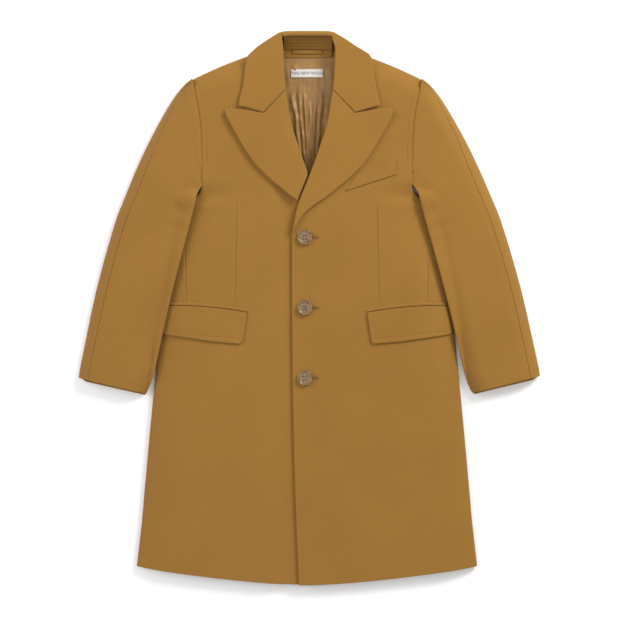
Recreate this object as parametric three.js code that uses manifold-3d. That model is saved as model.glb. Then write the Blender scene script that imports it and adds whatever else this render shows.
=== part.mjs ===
// A single-breasted wool overcoat with wide peak lapels, buttoned and lying flat on its back.
// Millimetres. +X is the wearer's left, +Y runs to the collar, +Z is up from the surface it lies on.
// The origin is under the middle of the coat. Sides are named as the wearer has them.
import * as THREE from "three";
import { mergeVertices } from "three/addons/utils/BufferGeometryUtils.js";
import Module from "manifold-3d";

const wasm = await Module();
wasm.setup();

// ---- Cloths -------------------------------------------------------------------------------------
const wool = 2.4; // shell cloth with its interlining
const canvas = 1.2; // chest canvas
const lining = 0.8; // satin lining with its seam allowances
const pouch = 1.2; // pocket bag, two plies lying flat
const clearance = 0.3; // between neighbouring plies

// ---- Overall sizes ------------------------------------------------------------------------------
const collarTop = 520; // Y of the collar fold behind the neck
const coatLength = 1038; // collar fold to the lowest point of the hem
const hemRise = 34; // the hem is this much higher at the side folds
const hemHalf = 317; // half the width along the hem
const chestHalf = 250; // half the width under the arms
const sideBow = 3; // outward bow of the side fold
const underarmY = 200;
const shoulderTip = [216, 430];
const shoulderNeck = [78, 485]; // where the shoulder line meets the collar
const shoulderBow = 4;
const armholeHalf = 196; // half the width between the armholes, across the chest
const armholeLow = 300; // above this Y the armhole turns out towards the shoulder tip
const underarmRise = 35; // height of the round bottom of the armhole

// ---- How high the coat stands off the surface ----------------------------------------------------
const skirtLoft = 21;
const chestLoft = 36;
const foldLoft = 11; // at the side folds
const sideRun = 60; // the front rises from the side fold over this width
const armRun = 105; // the same beside the sleeve, which presses it down
const shoulderLoft = 22; // at the shoulder line
const shoulderRun = 42;

// ---- Fronts -------------------------------------------------------------------------------------
const edgeX = -28.5; // X of the left front's edge, down to the buttons
const edgeSwing = 13.5; // the edge swings this far to the left at the hem
const breakY = 141; // where the lapel starts to roll
const underlap = 50; // the right front reaches this far under the left one
const underlapRun = 45; // width over which the right front dips under the left one
const facingWidth = 132;
const liningShort = 24; // the lining ends this far above the hem

// ---- Collar and lapels: distances are from neckX -------------------------------------------------
const neckX = 4; // middle of the neck opening
const lapelThick = 5.4; // two plies of wool with canvas between
const neckHalf = 48; // half the neck opening at the collar
const gorge = [44.5, 409]; // collar seam, at the roll
const notch = [85, 366.5];
const peak = [156.5, 370];
const wingTip = [131.5, 379.5];
const standLow = 490; // Y of the seam under the collar stand
const fallDepth = 58; // collar fall behind the neck
const collarSide = 92; // half the width of the collar at the neck seam
const fallHalf = 80; // half the width of the fall's lower edge
const trappedY = 300; // below this the right lapel stays under the left one
const lapelGap = 6.5; // room beside the left lapel's roll for the right lapel to swing

// ---- Sleeves ------------------------------------------------------------------------------------
const sleeveLoft = 35; // at the upper arm
const cuffLoft = 26;
const sleeveEdge = 0.42; // height of the sleeve's folded edges, as a part of its loft
const hindSeam = 20; // hind-arm seam, in from the outer fold
const cuffLining = 20; // the lining ends this far inside the cuff
const lastRow = 45; // length of the sleeve between its last two rows
const sleeveSwing = 0.45; // degrees: the left sleeve lies this much further out, the right further in

// ---- Pockets ------------------------------------------------------------------------------------
const flapInner = 112; // X of the flap's end nearest the buttons
const flapTop = 6;
const flapDepth = 64;
const flapThick = 3;
const flapSlope = 12; // the flap's mouth drops this much towards the front edge
const flapClear = 3; // between the flap's outer end and the sleeve
const jetWidth = 6;
const pocketDeep = 150; // pocket bag below the mouth
const weltLeft = [86, 232];
const weltRight = [167, 265];
const weltThick = 2;

// ---- Buttons ------------------------------------------------------------------------------------
const buttonAcross = 28;
const buttonThick = 4;
const buttonX = -4;
const buttonTop = 135; // Y of the highest button
const buttonPitch = 131.5;
const holePitch = 3.1; // half the distance between a button's thread holes
const holeRadius = 1.1;
const shankRadius = 1.7;
const shankLift = 2.4; // the button stands this far off the front
const eyeletRadius = 2.8; // round end of the keyhole buttonhole
const slitLength = 24;
const slitWidth = 1.2;
const stitchWidth = 1.6; // hand-worked edge of the buttonhole
const stitchThick = 0.8;

// ---- Back neck and shoulder pads ------------------------------------------------------------------
const padThick = 8;
const loopLength = 57;
const loopWidth = 7;
const loopThick = 1.4;
const labelSize = [60, 16];
const labelThick = 0.6;
const labelY = 445;

// ---- Fold of the left front's lower corner -------------------------------------------------------
const cornerUp = 350; // up the front edge from the hem
const cornerAcross = 226; // along the hem from the front edge

const hemY = collarTop - coatLength;
const hemSide = hemY + hemRise;
const { lerp, smoothstep, degToRad } = THREE.MathUtils;
const steps = (n) => Array.from({ length: n + 1 }, (_, i) => i / n);

// ---- Solids -------------------------------------------------------------------------------------

// A closed solid from corner points and triangles, with its faces turned outwards.
function closed(points, faces) {
  const build = (triangles) =>
    new wasm.Manifold(
      new wasm.Mesh({
        numProp: 3,
        vertProperties: new Float32Array(points.flat()),
        triVerts: new Uint32Array(triangles.flat()),
      }),
    );
  const made = build(faces);
  return made.volume() > 0 ? made : build(faces.map(([a, b, c]) => [a, c, b]));
}

// A ply between two grids of points, one on each face. A tube's rows close on themselves.
function ply(outer, inner, tube = false) {
  const rows = outer.length;
  const columns = outer[0].length;
  const points = [...outer.flat(), ...inner.flat()];
  const at = (face, i, j) => face * rows * columns + i * columns + (j % columns);
  const faces = [];
  const quad = (a, b, c, d) => faces.push([a, b, c], [a, c, d]);
  const last = tube ? columns : columns - 1;
  for (let j = 0; j < last; j++) {
    for (let i = 0; i < rows - 1; i++) {
      quad(at(0, i, j), at(0, i, j + 1), at(0, i + 1, j + 1), at(0, i + 1, j));
      quad(at(1, i, j), at(1, i + 1, j), at(1, i + 1, j + 1), at(1, i, j + 1));
    }
    quad(at(0, 0, j), at(1, 0, j), at(1, 0, j + 1), at(0, 0, j + 1));
    const end = rows - 1;
    quad(at(0, end, j), at(0, end, j + 1), at(1, end, j + 1), at(1, end, j));
  }
  if (!tube)
    for (let i = 0; i < rows - 1; i++) {
      quad(at(0, i, 0), at(0, i + 1, 0), at(1, i + 1, 0), at(1, i, 0));
      quad(at(0, i, last), at(1, i, last), at(1, i + 1, last), at(0, i + 1, last));
    }
  return closed(points, faces);
}

function solidOf(geometry) {
  const bare = geometry.clone();
  bare.deleteAttribute("normal");
  bare.deleteAttribute("uv");
  const merged = mergeVertices(bare, 1e-4);
  const mesh = { numProp: 3, vertProperties: merged.attributes.position.array };
  mesh.triVerts = new Uint32Array(merged.index.array);
  return new wasm.Manifold(new wasm.Mesh(mesh));
}

const shapeOf = (points) => new THREE.Shape(points.map(([x, y]) => new THREE.Vector2(x, y)));

// An upright prism over an outline.
function prism(points, low = -20, high = 120) {
  const options = { depth: high - low, bevelEnabled: false };
  return solidOf(new THREE.ExtrudeGeometry(shapeOf(points), options).translate(0, 0, low));
}

// The points of an outline with its corner b rounded to a radius.
function corner(a, b, c, radius) {
  const at = (p) => new THREE.Vector2(...p);
  const back = at(b).sub(at(a)).setLength(radius);
  const on = at(c).sub(at(b)).setLength(radius);
  const arc = new THREE.QuadraticBezierCurve(at(b).sub(back), at(b), at(b).add(on));
  return arc.getPoints(4).map((p) => [p.x, p.y]);
}

const spline = (points, count) =>
  new THREE.SplineCurve(points.map(([x, y]) => new THREE.Vector2(x, y)))
    .getPoints(count)
    .map((p) => [p.x, p.y]);
const mirrored = (side, points) => points.map(([x, y]) => [side * x, y]);

// The parts of the coat are added to this group.
const coat = new THREE.Group();
coat.name = "overcoat";

const cloths = {
  wool: [0x9a7238, 0.92],
  satin: [0x9c7743, 0.45],
  canvas: [0xcabd9e, 0.95],
  wadding: [0xe4e0d4, 1],
  horn: [0x8a6b40, 0.35],
  thread: [0x6e5026, 0.8],
  label: [0xb8b0a2, 0.6],
};
const materials = {};
for (const [name, [color, roughness]] of Object.entries(cloths))
  materials[name] = new THREE.MeshStandardMaterial({ name, color, roughness, metalness: 0 });

function add(name, solid, material) {
  const { vertProperties, triVerts } = solid.getMesh();
  const geometry = new THREE.BufferGeometry();
  geometry.setAttribute("position", new THREE.BufferAttribute(vertProperties, 3));
  geometry.setIndex(new THREE.BufferAttribute(triVerts, 1));
  geometry.computeVertexNormals();
  const mesh = new THREE.Mesh(geometry, materials[material]);
  mesh.name = name;
  coat.add(mesh);
}

// ---- The coat's outline and heights --------------------------------------------------------------

const hemAt = (x) => hemY + hemRise * Math.min(1, Math.abs(x) / hemHalf) ** 1.5;

function sideFold(y) {
  const t = (underarmY - y) / (underarmY - hemSide);
  return lerp(chestHalf, hemHalf, t) + sideBow * 4 * t * (1 - t);
}

// Half the width of the body at y, up to the shoulder tip.
function bodyHalf(y) {
  if (y <= underarmY) return sideFold(y);
  const round = (underarmY + underarmRise - y) / underarmRise;
  if (round > 0) return chestHalf - (chestHalf - armholeHalf) * Math.sqrt(1 - round ** 2);
  const turn = Math.max(0, (y - armholeLow) / (shoulderTip[1] - armholeLow));
  return armholeHalf + (shoulderTip[0] - armholeHalf) * turn ** 2.2;
}

function shoulderAt(x) {
  const t = (shoulderTip[0] - Math.abs(x)) / (shoulderTip[0] - shoulderNeck[0]);
  return lerp(shoulderTip[1], shoulderNeck[1], t) + shoulderBow * 4 * t * (1 - t);
}

// 1 where the side of the body is a closed fold, 0 where it opens into the sleeve.
const sideClosed = (y) => 1 - smoothstep(y, underarmY + 16, underarmY + 45);
const rise = (d, run, low, high) =>
  d >= run ? high : low + (high - low) * (1 - (1 - Math.max(0, d) / run) ** 2);
const crown = (y) => lerp(skirtLoft, chestLoft, smoothstep(y, hemY, 330));

// Height of the front of the coat, on its outside.
function frontTop(x, y) {
  const loft = crown(y);
  const run = lerp(sideRun, armRun, smoothstep(y, underarmY - 150, underarmY - 30));
  const side = rise(bodyHalf(Math.min(y, shoulderTip[1])) - Math.abs(x), run, foldLoft, loft);
  const shoulder = rise(shoulderAt(x) - y, shoulderRun, shoulderLoft, loft);
  return Math.min(lerp(loft, side, sideClosed(y)), shoulder);
}

// The back lies on the surface and climbs over the collar fall at the neck.
const neckLift = lapelThick + clearance;
const fallEdge = collarTop - fallDepth;
const floorAt = (y) => neckLift * smoothstep(y, fallEdge - 62, fallEdge);

// X of the left front's edge, from the hem to the break of the lapel.
const frontEdge = (y) => edgeX + edgeSwing * (Math.max(0, breakY - y) / (breakY - hemY)) ** 2.5;

// The roll of a lapel, from the neck down to the break.
const roll = [
  [neckHalf, standLow + 1],
  [neckHalf - 1, 450],
  [gorge[0] - 0.8, gorge[1] + 3],
  [33, 348],
  [18.5, 301],
  [1.5, 253],
  [-18, 204],
  [-26.7, 172],
  [edgeX - neckX, breakY],
];
const rollFine = spline(roll, 60);
function rollAt(y) {
  const next = Math.max(1, rollFine.findIndex((p) => p[1] <= y));
  const [a, b] = [rollFine[next - 1], rollFine[next]];
  return lerp(a[0], b[0], (a[1] - y) / (a[1] - b[1]));
}

// The inner edge of one front, towards the wearer's other side: below the break its own edge,
// above it the roll. Here and below, distances run outwards from the middle on either side.
function innerEdge(side, y) {
  if (side > 0) return y < breakY ? frontEdge(y) : rollAt(y) + neckX;
  const under = -frontEdge(Math.min(y, breakY)) - underlap;
  return y < breakY ? under : Math.max(under, rollAt(y) - neckX);
}

// Stations up the outside of a front: side fold, armhole and shoulder line. Each has a station
// on the inner edge, at the same height up to the underarm.
const neckRow = 480;
const shoulderRows = 3;
const levels = [
  ...steps(5).map((t) => lerp(hemSide, breakY, t)),
  lerp(breakY, underarmY, 0.5),
  underarmY,
];
const innerLevels = [...levels];
const outerEdge = [
  ...levels,
  ...[0.09, 0.3, 0.62, 1].map((t) => underarmY + underarmRise * t),
  ...[0.33, 0.55, 0.78, 1].map((t) => lerp(underarmY + underarmRise, shoulderTip[1], t)),
].map((y) => [bodyHalf(y), y]);
for (const t of [0.33, 0.7, 1]) {
  const x = lerp(shoulderTip[0], shoulderNeck[0], t);
  outerEdge.push([x, shoulderAt(x)]);
}
while (innerLevels.length < outerEdge.length) {
  const t = (innerLevels.length - levels.length + 1) / (outerEdge.length - levels.length);
  innerLevels.push(lerp(underarmY, neckRow, t));
}

// ---- Plies of the fronts and the back ------------------------------------------------------------

// How far the right front dips to pass under the left one.
const underDip = 2 * (wool + clearance) + 2 * clearance;
const dip = (side, x) => (side > 0 ? 0 : underDip * smoothstep(x, edgeX - underlapRun, edgeX));

// A ply of one front. Its depth is measured under the outside of the front, and is less than 0 for
// what lies on it. With a wall, the ply turns down to the surface at the side fold and shoulder.
// An outline, measured outwards from the middle, trims it.
function frontPly(side, depth, thick, { wall = false, level = false, outline = null } = {}) {
  const value = (size, x, y) => (typeof size === "function" ? size(x, y) : size);
  const top = [];
  const bottom = [];
  const rows = outerEdge.length;
  outerEdge.forEach(([x0, y0], i) => {
    const y1 = innerLevels[i];
    const x1 = innerEdge(side, y1);
    const narrow = Math.min(1, (x0 - x1) / (armRun + underlap + underlapRun + 15));
    const share = (d) => (d * narrow) / (x0 - x1);
    const near = [0, wool, wool + 0.2, 18, 38, sideRun, armRun].map(share);
    const far = [underlap + underlapRun, underlap, 0].map((d) => 1 - share(d));
    const columns = [...near, ...far];
    const walled = wall && (y0 < underarmY + 16 || i >= rows - shoulderRows);
    const points = columns.map((t) => {
      const x = side * lerp(x0, x1, t);
      const y = i === 0 ? hemAt(x) : lerp(y0, y1, t);
      return [x, y, frontTop(x, y) - (level ? 0 : dip(side, x)) - value(depth, x, y)];
    });
    top.push(points);
    bottom.push(
      points.map(([x, y, z], j) => [x, y, walled && j < 2 ? floorAt(y) : z - value(thick, x, y)]),
    );
  });
  const made = ply(top, bottom);
  return outline ? made.intersect(prism(mirrored(side, outline))) : made;
}

// The outline of a body ply that ends inside the side folds, shoulder and hem.
function insideOutline(inset, hemUp, inner, neck) {
  const sides = outerEdge.map(([x, y], i) => {
    const shoulder = i >= outerEdge.length - shoulderRows - 1;
    return [x - inset, shoulder ? y - inset : y];
  });
  const low = hemSide + hemUp;
  sides[0] = [sideFold(low) - inset, low];
  const middle = innerLevels.map((y, i) => [inner(y), i ? y : hemAt(inner(y)) + hemUp]);
  return [...sides, ...neck, ...middle.reverse()];
}

const backLevels = [hemY - 5, ...steps(6).map((t) => lerp(fallEdge - 62, fallEdge, t)), collarTop];
function backPly(height, thick, outline) {
  const wide = hemHalf + 20;
  const grid = (z) => backLevels.map((y) => [-wide, wide].map((x) => [x, y, floorAt(y) + z]));
  return ply(grid(height + thick), grid(height)).intersect(prism(outline));
}

// Depths of the plies under the outside of a front. The lining drops to clear the shoulder pad.
const padReach = 96; // from the armhole towards the neck
const padDepth = 60; // from the shoulder line down the chest
const canvasDepth = wool + clearance;
const fillDepth = canvasDepth + canvas + clearance;
const liningDepth = fillDepth + pouch + clearance;
const padDrop = (x, y) =>
  padThick *
  smoothstep(Math.abs(x), shoulderTip[0] - padReach, shoulderTip[0] - 12) *
  smoothstep(y, shoulderTip[1] - padDepth, shoulderTip[1] - 22);

// ---- Keyhole buttonholes and the lower corner of the left front -----------------------------------

const buttonYs = [0, 1, 2].map((i) => buttonTop - i * buttonPitch);
function keyhole(y, grow = 0) {
  const half = slitWidth / 2 + grow;
  const radius = eyeletRadius + grow;
  const start = Math.asin(half / radius);
  const round = steps(10).map((t) => lerp(start, 2 * Math.PI - start, t));
  const eyelet = round.map((a) => [buttonX + radius * Math.cos(a), y + radius * Math.sin(a)]);
  const end = buttonX + slitLength + grow;
  return [...eyelet, [end, y - half], [end, y + half]];
}
const keyholes = buttonYs.map((y) => prism(keyhole(y)));
const withKeyholes = (solid) => keyholes.reduce((made, hole) => made.subtract(hole), solid);

// The lower corner of the left front turns back along a straight fold.
const cornerA = [edgeX - 1, hemY + cornerUp];
const cornerB = [edgeX + cornerAcross, hemAt(edgeX + cornerAcross) - 2];
function cornerPrism(back) {
  const along = new THREE.Vector2(cornerB[0] - cornerA[0], cornerB[1] - cornerA[1]).normalize();
  const past = 60;
  const shifted = ([x, y], run) => [
    x + along.x * run - along.y * back,
    y + along.y * run + along.x * back,
  ];
  return prism([shifted(cornerA, -past), [edgeX - past, hemY - past], shifted(cornerB, past)]);
}
const cornerCut = cornerPrism(0);
const cornerRoom = cornerPrism(clearance);
function addWithCorner(name, solid, material) {
  add("left_" + name, solid.subtract(cornerRoom), material);
  add("left_" + name + "_corner", solid.intersect(cornerCut), material);
}

// ---- Fronts, facings, linings, canvases and shoulder pads ----------------------------------------

const facingSeam = (side, y) => innerEdge(side, Math.min(y, breakY - 1)) + facingWidth;
const liningInset = wool + 0.5;
const sides = [
  [1, "left"],
  [-1, "right"],
];

for (const [side, name] of sides) {
  const shell = frontPly(side, 0, wool, { wall: true });
  const seamAt = (y) => facingSeam(side, y);
  const levelsUp = innerLevels.slice(0, -1);
  const facingOutline = [
    ...levelsUp.map((y, i) => [seamAt(y), i ? y : hemAt(seamAt(y)) + 1]),
    ...levelsUp.map((y, i) => [innerEdge(side, y) + 0.8, i ? y : hemY - 1]).reverse(),
  ];
  facingOutline[facingOutline.length - 1][1] = hemAt(innerEdge(side, hemSide)) + 1;
  const facing = frontPly(side, canvasDepth, wool, { outline: facingOutline });
  const beyondSeam = [
    ...innerLevels.map((y) => [side * (seamAt(y) + clearance), y]),
    [side * hemHalf * 1.2, collarTop],
    [side * hemHalf * 1.2, hemY - 10],
    [side * (seamAt(hemY) + clearance), hemY - 10],
  ];
  const linen = frontPly(side, (x, y) => liningDepth + padDrop(x, y), lining, {
    outline: insideOutline(liningInset, liningShort, (y) => innerEdge(side, y) + 1, []),
  }).intersect(prism(beyondSeam));
  if (side > 0) {
    addWithCorner("front", withKeyholes(shell), "wool");
    addWithCorner("facing", withKeyholes(facing), "wool");
    addWithCorner("front_lining", linen, "satin");
  } else {
    add("right_front", shell, "wool");
    add("right_facing", facing, "wool");
    add("right_front_lining", linen, "satin");
  }
  const chestLow = underarmY - 140;
  const canvasInner = seamAt(chestLow) + clearance;
  const armhole = steps(6).map((t) => lerp(underarmY + underarmRise, shoulderTip[1] - 8, t));
  const canvasOutline = [
    [canvasInner, chestLow],
    [armholeHalf - 50, chestLow],
    [armholeHalf - 14, underarmY],
    ...armhole.map((y) => [bodyHalf(y) - 4, y]),
    [canvasInner, shoulderAt(canvasInner) - 12],
  ];
  add(name + "_chest_canvas", frontPly(side, canvasDepth, canvas, { outline: canvasOutline }), "canvas");
  const padLow = shoulderTip[1] - padDepth;
  const padOutline = [
    [shoulderTip[0] - padReach, shoulderTip[1] - 24],
    [shoulderTip[0] - 60, padLow + 6],
    [bodyHalf(padLow) - 4, padLow],
    [shoulderTip[0] - 6, shoulderTip[1] - 8],
    [shoulderTip[0] - padReach, shoulderAt(shoulderTip[0] - padReach) - 12],
  ];
  const padFill = (x, y) => pouch + padDrop(x, y);
  add(name + "_shoulder_pad", frontPly(side, fillDepth, padFill, { outline: padOutline }), "wadding");
}

// ---- Back ---------------------------------------------------------------------------------------

for (const [side, name] of sides) {
  const half = insideOutline(wool + 0.8, 0.5, () => clearance / 2, [[neckHalf, standLow - 1.5]]);
  half[half.length - outerEdge.length][1] = standLow - 1.5;
  add(name + "_back", backPly(0, wool, mirrored(side, half)), "wool");
}
const facingLow = standLow - 13; // lower edge of the back neck facing
const liningHalf = insideOutline(wool + 1.2, liningShort, () => 0, [[neckHalf, facingLow - 4]])
  .slice(0, outerEdge.length + 1)
  .filter(([x, y]) => y < facingLow || x > neckHalf + 20);
const backInside = wool + clearance;
add(
  "back_lining",
  backPly(backInside, lining, [
    ...liningHalf,
    ...mirrored(-1, liningHalf).reverse(),
    [0, hemAt(0) + liningShort],
  ]),
  "satin",
);
const neckFacing = [
  [neckHalf - 2, facingLow - 3],
  [neckHalf, standLow - 2],
];
const facingDip = steps(6).map((t) => lerp(-1, 1, t) * (neckHalf - 2));
add(
  "back_neck_facing",
  backPly(backInside, wool, [
    ...facingDip.map((x) => [x, facingLow + 1 - 3 * (x / neckHalf) ** 2]),
    neckFacing[1],
    mirrored(-1, neckFacing)[1],
  ]),
  "wool",
);


// ---- Lapels and collar ---------------------------------------------------------------------------

const onFront = -clearance; // depth of the underside of what lies on the front
const lapelEdge = [
  [152, 375.5],
  peak,
  [145, 342],
  [110, 282.5],
  [80, 249],
  [55, 228],
  [33, 210],
  [8, 193],
  [-9.5, 178],
  [-21, 160.6],
];
const rollUp = rollFine.filter(([, y]) => y < gorge[1] - 2).reverse();
const thinned = rollUp.filter((_, i) => i % 4 === 0 && i > 0);
const lapel = [...lapelEdge, [edgeX - neckX + 1, breakY + 1.5], ...thinned, gorge, notch];
const wing = [
  [gorge[0] + 0.2, gorge[1] + clearance],
  [43.7, gorge[1] + 4],
  [neckHalf - 1, 450],
  [neckHalf, standLow - 2],
  [collarSide, standLow - 2],
  [111, 477],
  [117, 467],
  [124.7, 416],
  [132, 385],
  wingTip,
  [notch[0] + 0.4, notch[1] + clearance],
];
const wingLow = chestLoft + clearance;
const acrossBody = ([low, high]) =>
  prism([-1, 1, 1, -1].map((end, i) => [end * hemHalf, i < 2 ? low : high]));
const upper = [trappedY + clearance, collarTop];
const lower = [hemY, trappedY];
const leftRoll = innerLevels.filter((y) => y > breakY).map((y) => [innerEdge(1, y) - lapelGap, y]);
const underLeft = prism([...leftRoll, [neckHalf * 3, neckRow], [neckHalf * 3, breakY], [-60, breakY]]);
for (const [side, name] of sides) {
  const shifted = (points) => points.map(([x, y]) => [x + side * neckX, y]);
  const turned = frontPly(side, onFront - lapelThick, lapelThick, {
    level: true,
    outline: shifted(lapel),
  });
  const free = side > 0 ? turned : turned.subtract(underLeft);
  add(name + "_lapel", side > 0 ? free : free.intersect(acrossBody(upper)), "wool");
  if (side < 0) add("right_lapel_end", free.intersect(acrossBody(lower)), "wool");
  const wingShape = mirrored(side, shifted(wing));
  add(name + "_collar_wing", prism(wingShape, wingLow, wingLow + lapelThick), "wool");
}

// A bar of constant section along X. The section's points are [y, z].
function bar(section, half) {
  const options = { depth: 2 * half, bevelEnabled: false };
  const shape = shapeOf(section.map(([y, z]) => [-z, y]));
  const geometry = new THREE.ExtrudeGeometry(shape, options).translate(0, 0, -half);
  return solidOf(geometry.rotateY(Math.PI / 2));
}

// The stand leans back from the neck seam to the collar fold. The fall folds down behind it and
// lies under the back.
const standThick = 4;
const fallThick = 4.8;
const foldLine = [
  [collarSide, standLow],
  [neckHalf - 2, collarTop],
];
const foldHigh = wingLow + lapelThick;
const standBase = neckLift + backInside + clearance;
add(
  "collar_stand",
  bar(
    [
      [standLow, standBase],
      [collarTop - fallThick - clearance, foldHigh - standThick - 4],
      [collarTop - fallThick - clearance, foldHigh - 1],
      [standLow, standBase + standThick],
    ],
    neckHalf - 8,
  ),
  "wool",
);
const outward = [...foldLine, ...mirrored(-1, foldLine).reverse()];
const insideFold = [
  [collarSide - fallThick, standLow],
  [neckHalf - 2 - fallThick / 2, collarTop - fallThick],
];
const inward = [...mirrored(-1, insideFold), ...insideFold.reverse()];
const fallLow = [
  [collarSide, fallEdge + 12],
  [fallHalf, fallEdge + 1],
];
const fallPlate = [...fallLow, ...mirrored(-1, fallLow).reverse()];
let fall = prism([...outward, ...inward], 0, foldHigh).add(
  prism([...outward, ...fallPlate.reverse()], 0, fallThick),
);
const sideTop = [
  [neckHalf - 2, collarTop - 1],
  [collarSide - 1, standLow + clearance],
  [neckHalf, standLow + clearance],
];
for (const [side] of sides) fall = fall.add(prism(mirrored(side, sideTop), wingLow, foldHigh));
add("collar_fall", fall, "wool");

// ---- Sleeves ------------------------------------------------------------------------------------

// Stations from the armhole to the cuff: a point on the inner fold and one on the outer fold.
const sleeveStations = [
  [[198, 262], [218.5, 431]],
  [[201, 240], [243, 408]],
  [[206.5, 218], [275, 357]],
  [[213, 190], [311, 288]],
  [[222, 157], [346.5, 206]],
  [[235, 110], [366.5, 153]],
  [[265, -4], [398.5, 40]],
  [[292, -119], [424, -75]],
  [[309.5, -161], [435.8, -131.6]],
];
const sleeveRows = sleeveStations.length - 1;
const seamGap = 1; // between the armhole edge of the body and the sleeve
const sleeveRest = 6.5; // the sleeve lies this far above the body's outside
const fullLoftRow = 3; // from this station on, the loft falls evenly to the cuff

// The sleeve's inner and outer fold on one side, turned about the shoulder tip to where it lies.
function laidStations(side) {
  const turn = degToRad(side * sleeveSwing);
  const pivot = new THREE.Vector2(...shoulderTip);
  return sleeveStations.map((row) => row.map((p) => new THREE.Vector2(...p).rotateAround(pivot, turn)));
}

// Height of what a sleeve rests on: the surface, or the side of the body near it.
function restOn(x, y) {
  const level = Math.min(y, underarmY - 1);
  const edge = bodyHalf(level);
  const onBody = frontTop(Math.min(x, edge - 2), level) + sleeveRest;
  const beside = 1 - smoothstep(x - edge, 0, 22);
  const above = 1 - smoothstep(y - underarmY, 12, 40);
  return onBody * beside * above;
}

// Points across a sleeve at each station. A place is [share of the width, further in mm, face,
// depth under that face]. Rows run between two stations, which may lie part way between others.
function sleeveGrid(side, places, from = 0, to = sleeveRows) {
  const rows = laidStations(side).map(([a, b], i) => {
    const width = a.distanceTo(b);
    const loft = lerp(sleeveLoft, cuffLoft, Math.max(0, i - fullLoftRow) / (sleeveRows - fullLoftRow));
    return places(i).map(([share, further, face, depth]) => {
      const t = share + further / width;
      const p = a.clone().lerp(b, t);
      if (i === 0) p.x = bodyHalf(Math.min(p.y, shoulderTip[1])) + seamGap;
      const low = restOn(p.x, p.y);
      const arched = rise(Math.min(t, 1 - t), 0.25, sleeveEdge * loft, loft);
      const high = i === 0 ? loft : Math.max(arched, low + 11);
      const z = { top: high - depth, bottom: low + depth, middle: (low + high) / 2 + depth };
      return [side * p.x, p.y, z[face]];
    });
  });
  const between = (row) => {
    const [a, b] = [rows[Math.floor(row)], rows[Math.ceil(row)]];
    return a.map((p, j) => p.map((v, k) => lerp(v, b[j][k], row % 1)));
  };
  const whole = rows.map((_, i) => i).filter((i) => i > from && i < to);
  return [from, ...whole, to].map(between);
}

const acrossSleeve = [0.1, 0.25, 0.5, 0.72];
const seamIn = (row) => lerp(5, hindSeam, Math.min(1, row / fullLoftRow));
const half = clearance;
const topsleeve = {
  outside: (row) => [
    [0, 0, "top", 0],
    [0, wool, "top", 0],
    [0, wool + 0.2, "top", 0],
    ...acrossSleeve.map((t) => [t, 0, "top", 0]),
    [1, -seamIn(row), "top", 0],
  ],
  inside: (row) => [
    [0, 0, "middle", half],
    [0, wool, "middle", half],
    [0, wool + 0.2, "top", wool],
    ...acrossSleeve.map((t) => [t, 0, "top", wool]),
    [1, -seamIn(row), "top", wool],
  ],
};
const undersleeve = {
  outside: (row) => [
    [1, clearance - seamIn(row), "top", 0],
    [1, -wool - 0.4, "top", 0],
    [1, 0, "top", 0],
    [1, 0, "bottom", 0],
    ...[...acrossSleeve].reverse().map((t) => [t, 0, "bottom", 0]),
    [0, 0, "bottom", 0],
    [0, 0, "middle", -half],
  ],
  inside: (row) => [
    [1, clearance - seamIn(row), "top", wool],
    [1, -wool - 0.4, "top", wool],
    [1, -wool, "top", wool],
    [1, -wool, "bottom", wool],
    ...[...acrossSleeve].reverse().map((t) => [t, 0, "bottom", wool]),
    [0, wool, "bottom", wool],
    [0, wool, "middle", -half],
  ],
};
const ring = (deep) => () => [
  [0, deep, "top", deep],
  ...acrossSleeve.map((t) => [t, 0, "top", deep]),
  [1, -deep, "top", deep],
  [1, -deep, "bottom", deep],
  ...[...acrossSleeve].reverse().map((t) => [t, 0, "bottom", deep]),
  [0, deep, "bottom", deep],
];
const headThick = 3; // wadding roll inside the sleeve head
const head = (deep) => () => acrossSleeve.map((t) => [t, 0, "top", deep]);
const cuffRows = cuffLining / lastRow;

for (const [side, name] of sides) {
  const under = wool + clearance;
  const grid = (places, ...range) => sleeveGrid(side, places, ...range);
  add(name + "_topsleeve", ply(grid(topsleeve.outside), grid(topsleeve.inside)), "wool");
  add(name + "_undersleeve", ply(grid(undersleeve.outside), grid(undersleeve.inside)), "wool");
  const lined = (depth) => grid(ring(depth), 1, sleeveRows - cuffRows);
  const tube = [lined(under), lined(under + lining)];
  add(name + "_sleeve_lining", ply(...tube, true), "satin");
  const roll = [grid(head(under), 0.1, 0.85), grid(head(under + headThick), 0.1, 0.85)];
  add(name + "_sleeve_head", ply(...roll), "wadding");
}

// ---- Pockets ------------------------------------------------------------------------------------

// X of the sleeve's inner fold at y, measured outwards.
function sleeveInner(side, y) {
  const folds = laidStations(side).map(([inner]) => inner);
  const next = folds.findIndex((p) => p.y <= y);
  const [a, b] = [folds[next - 1], folds[next]];
  return lerp(a.x, b.x, (a.y - y) / (a.y - b.y));
}

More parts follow.
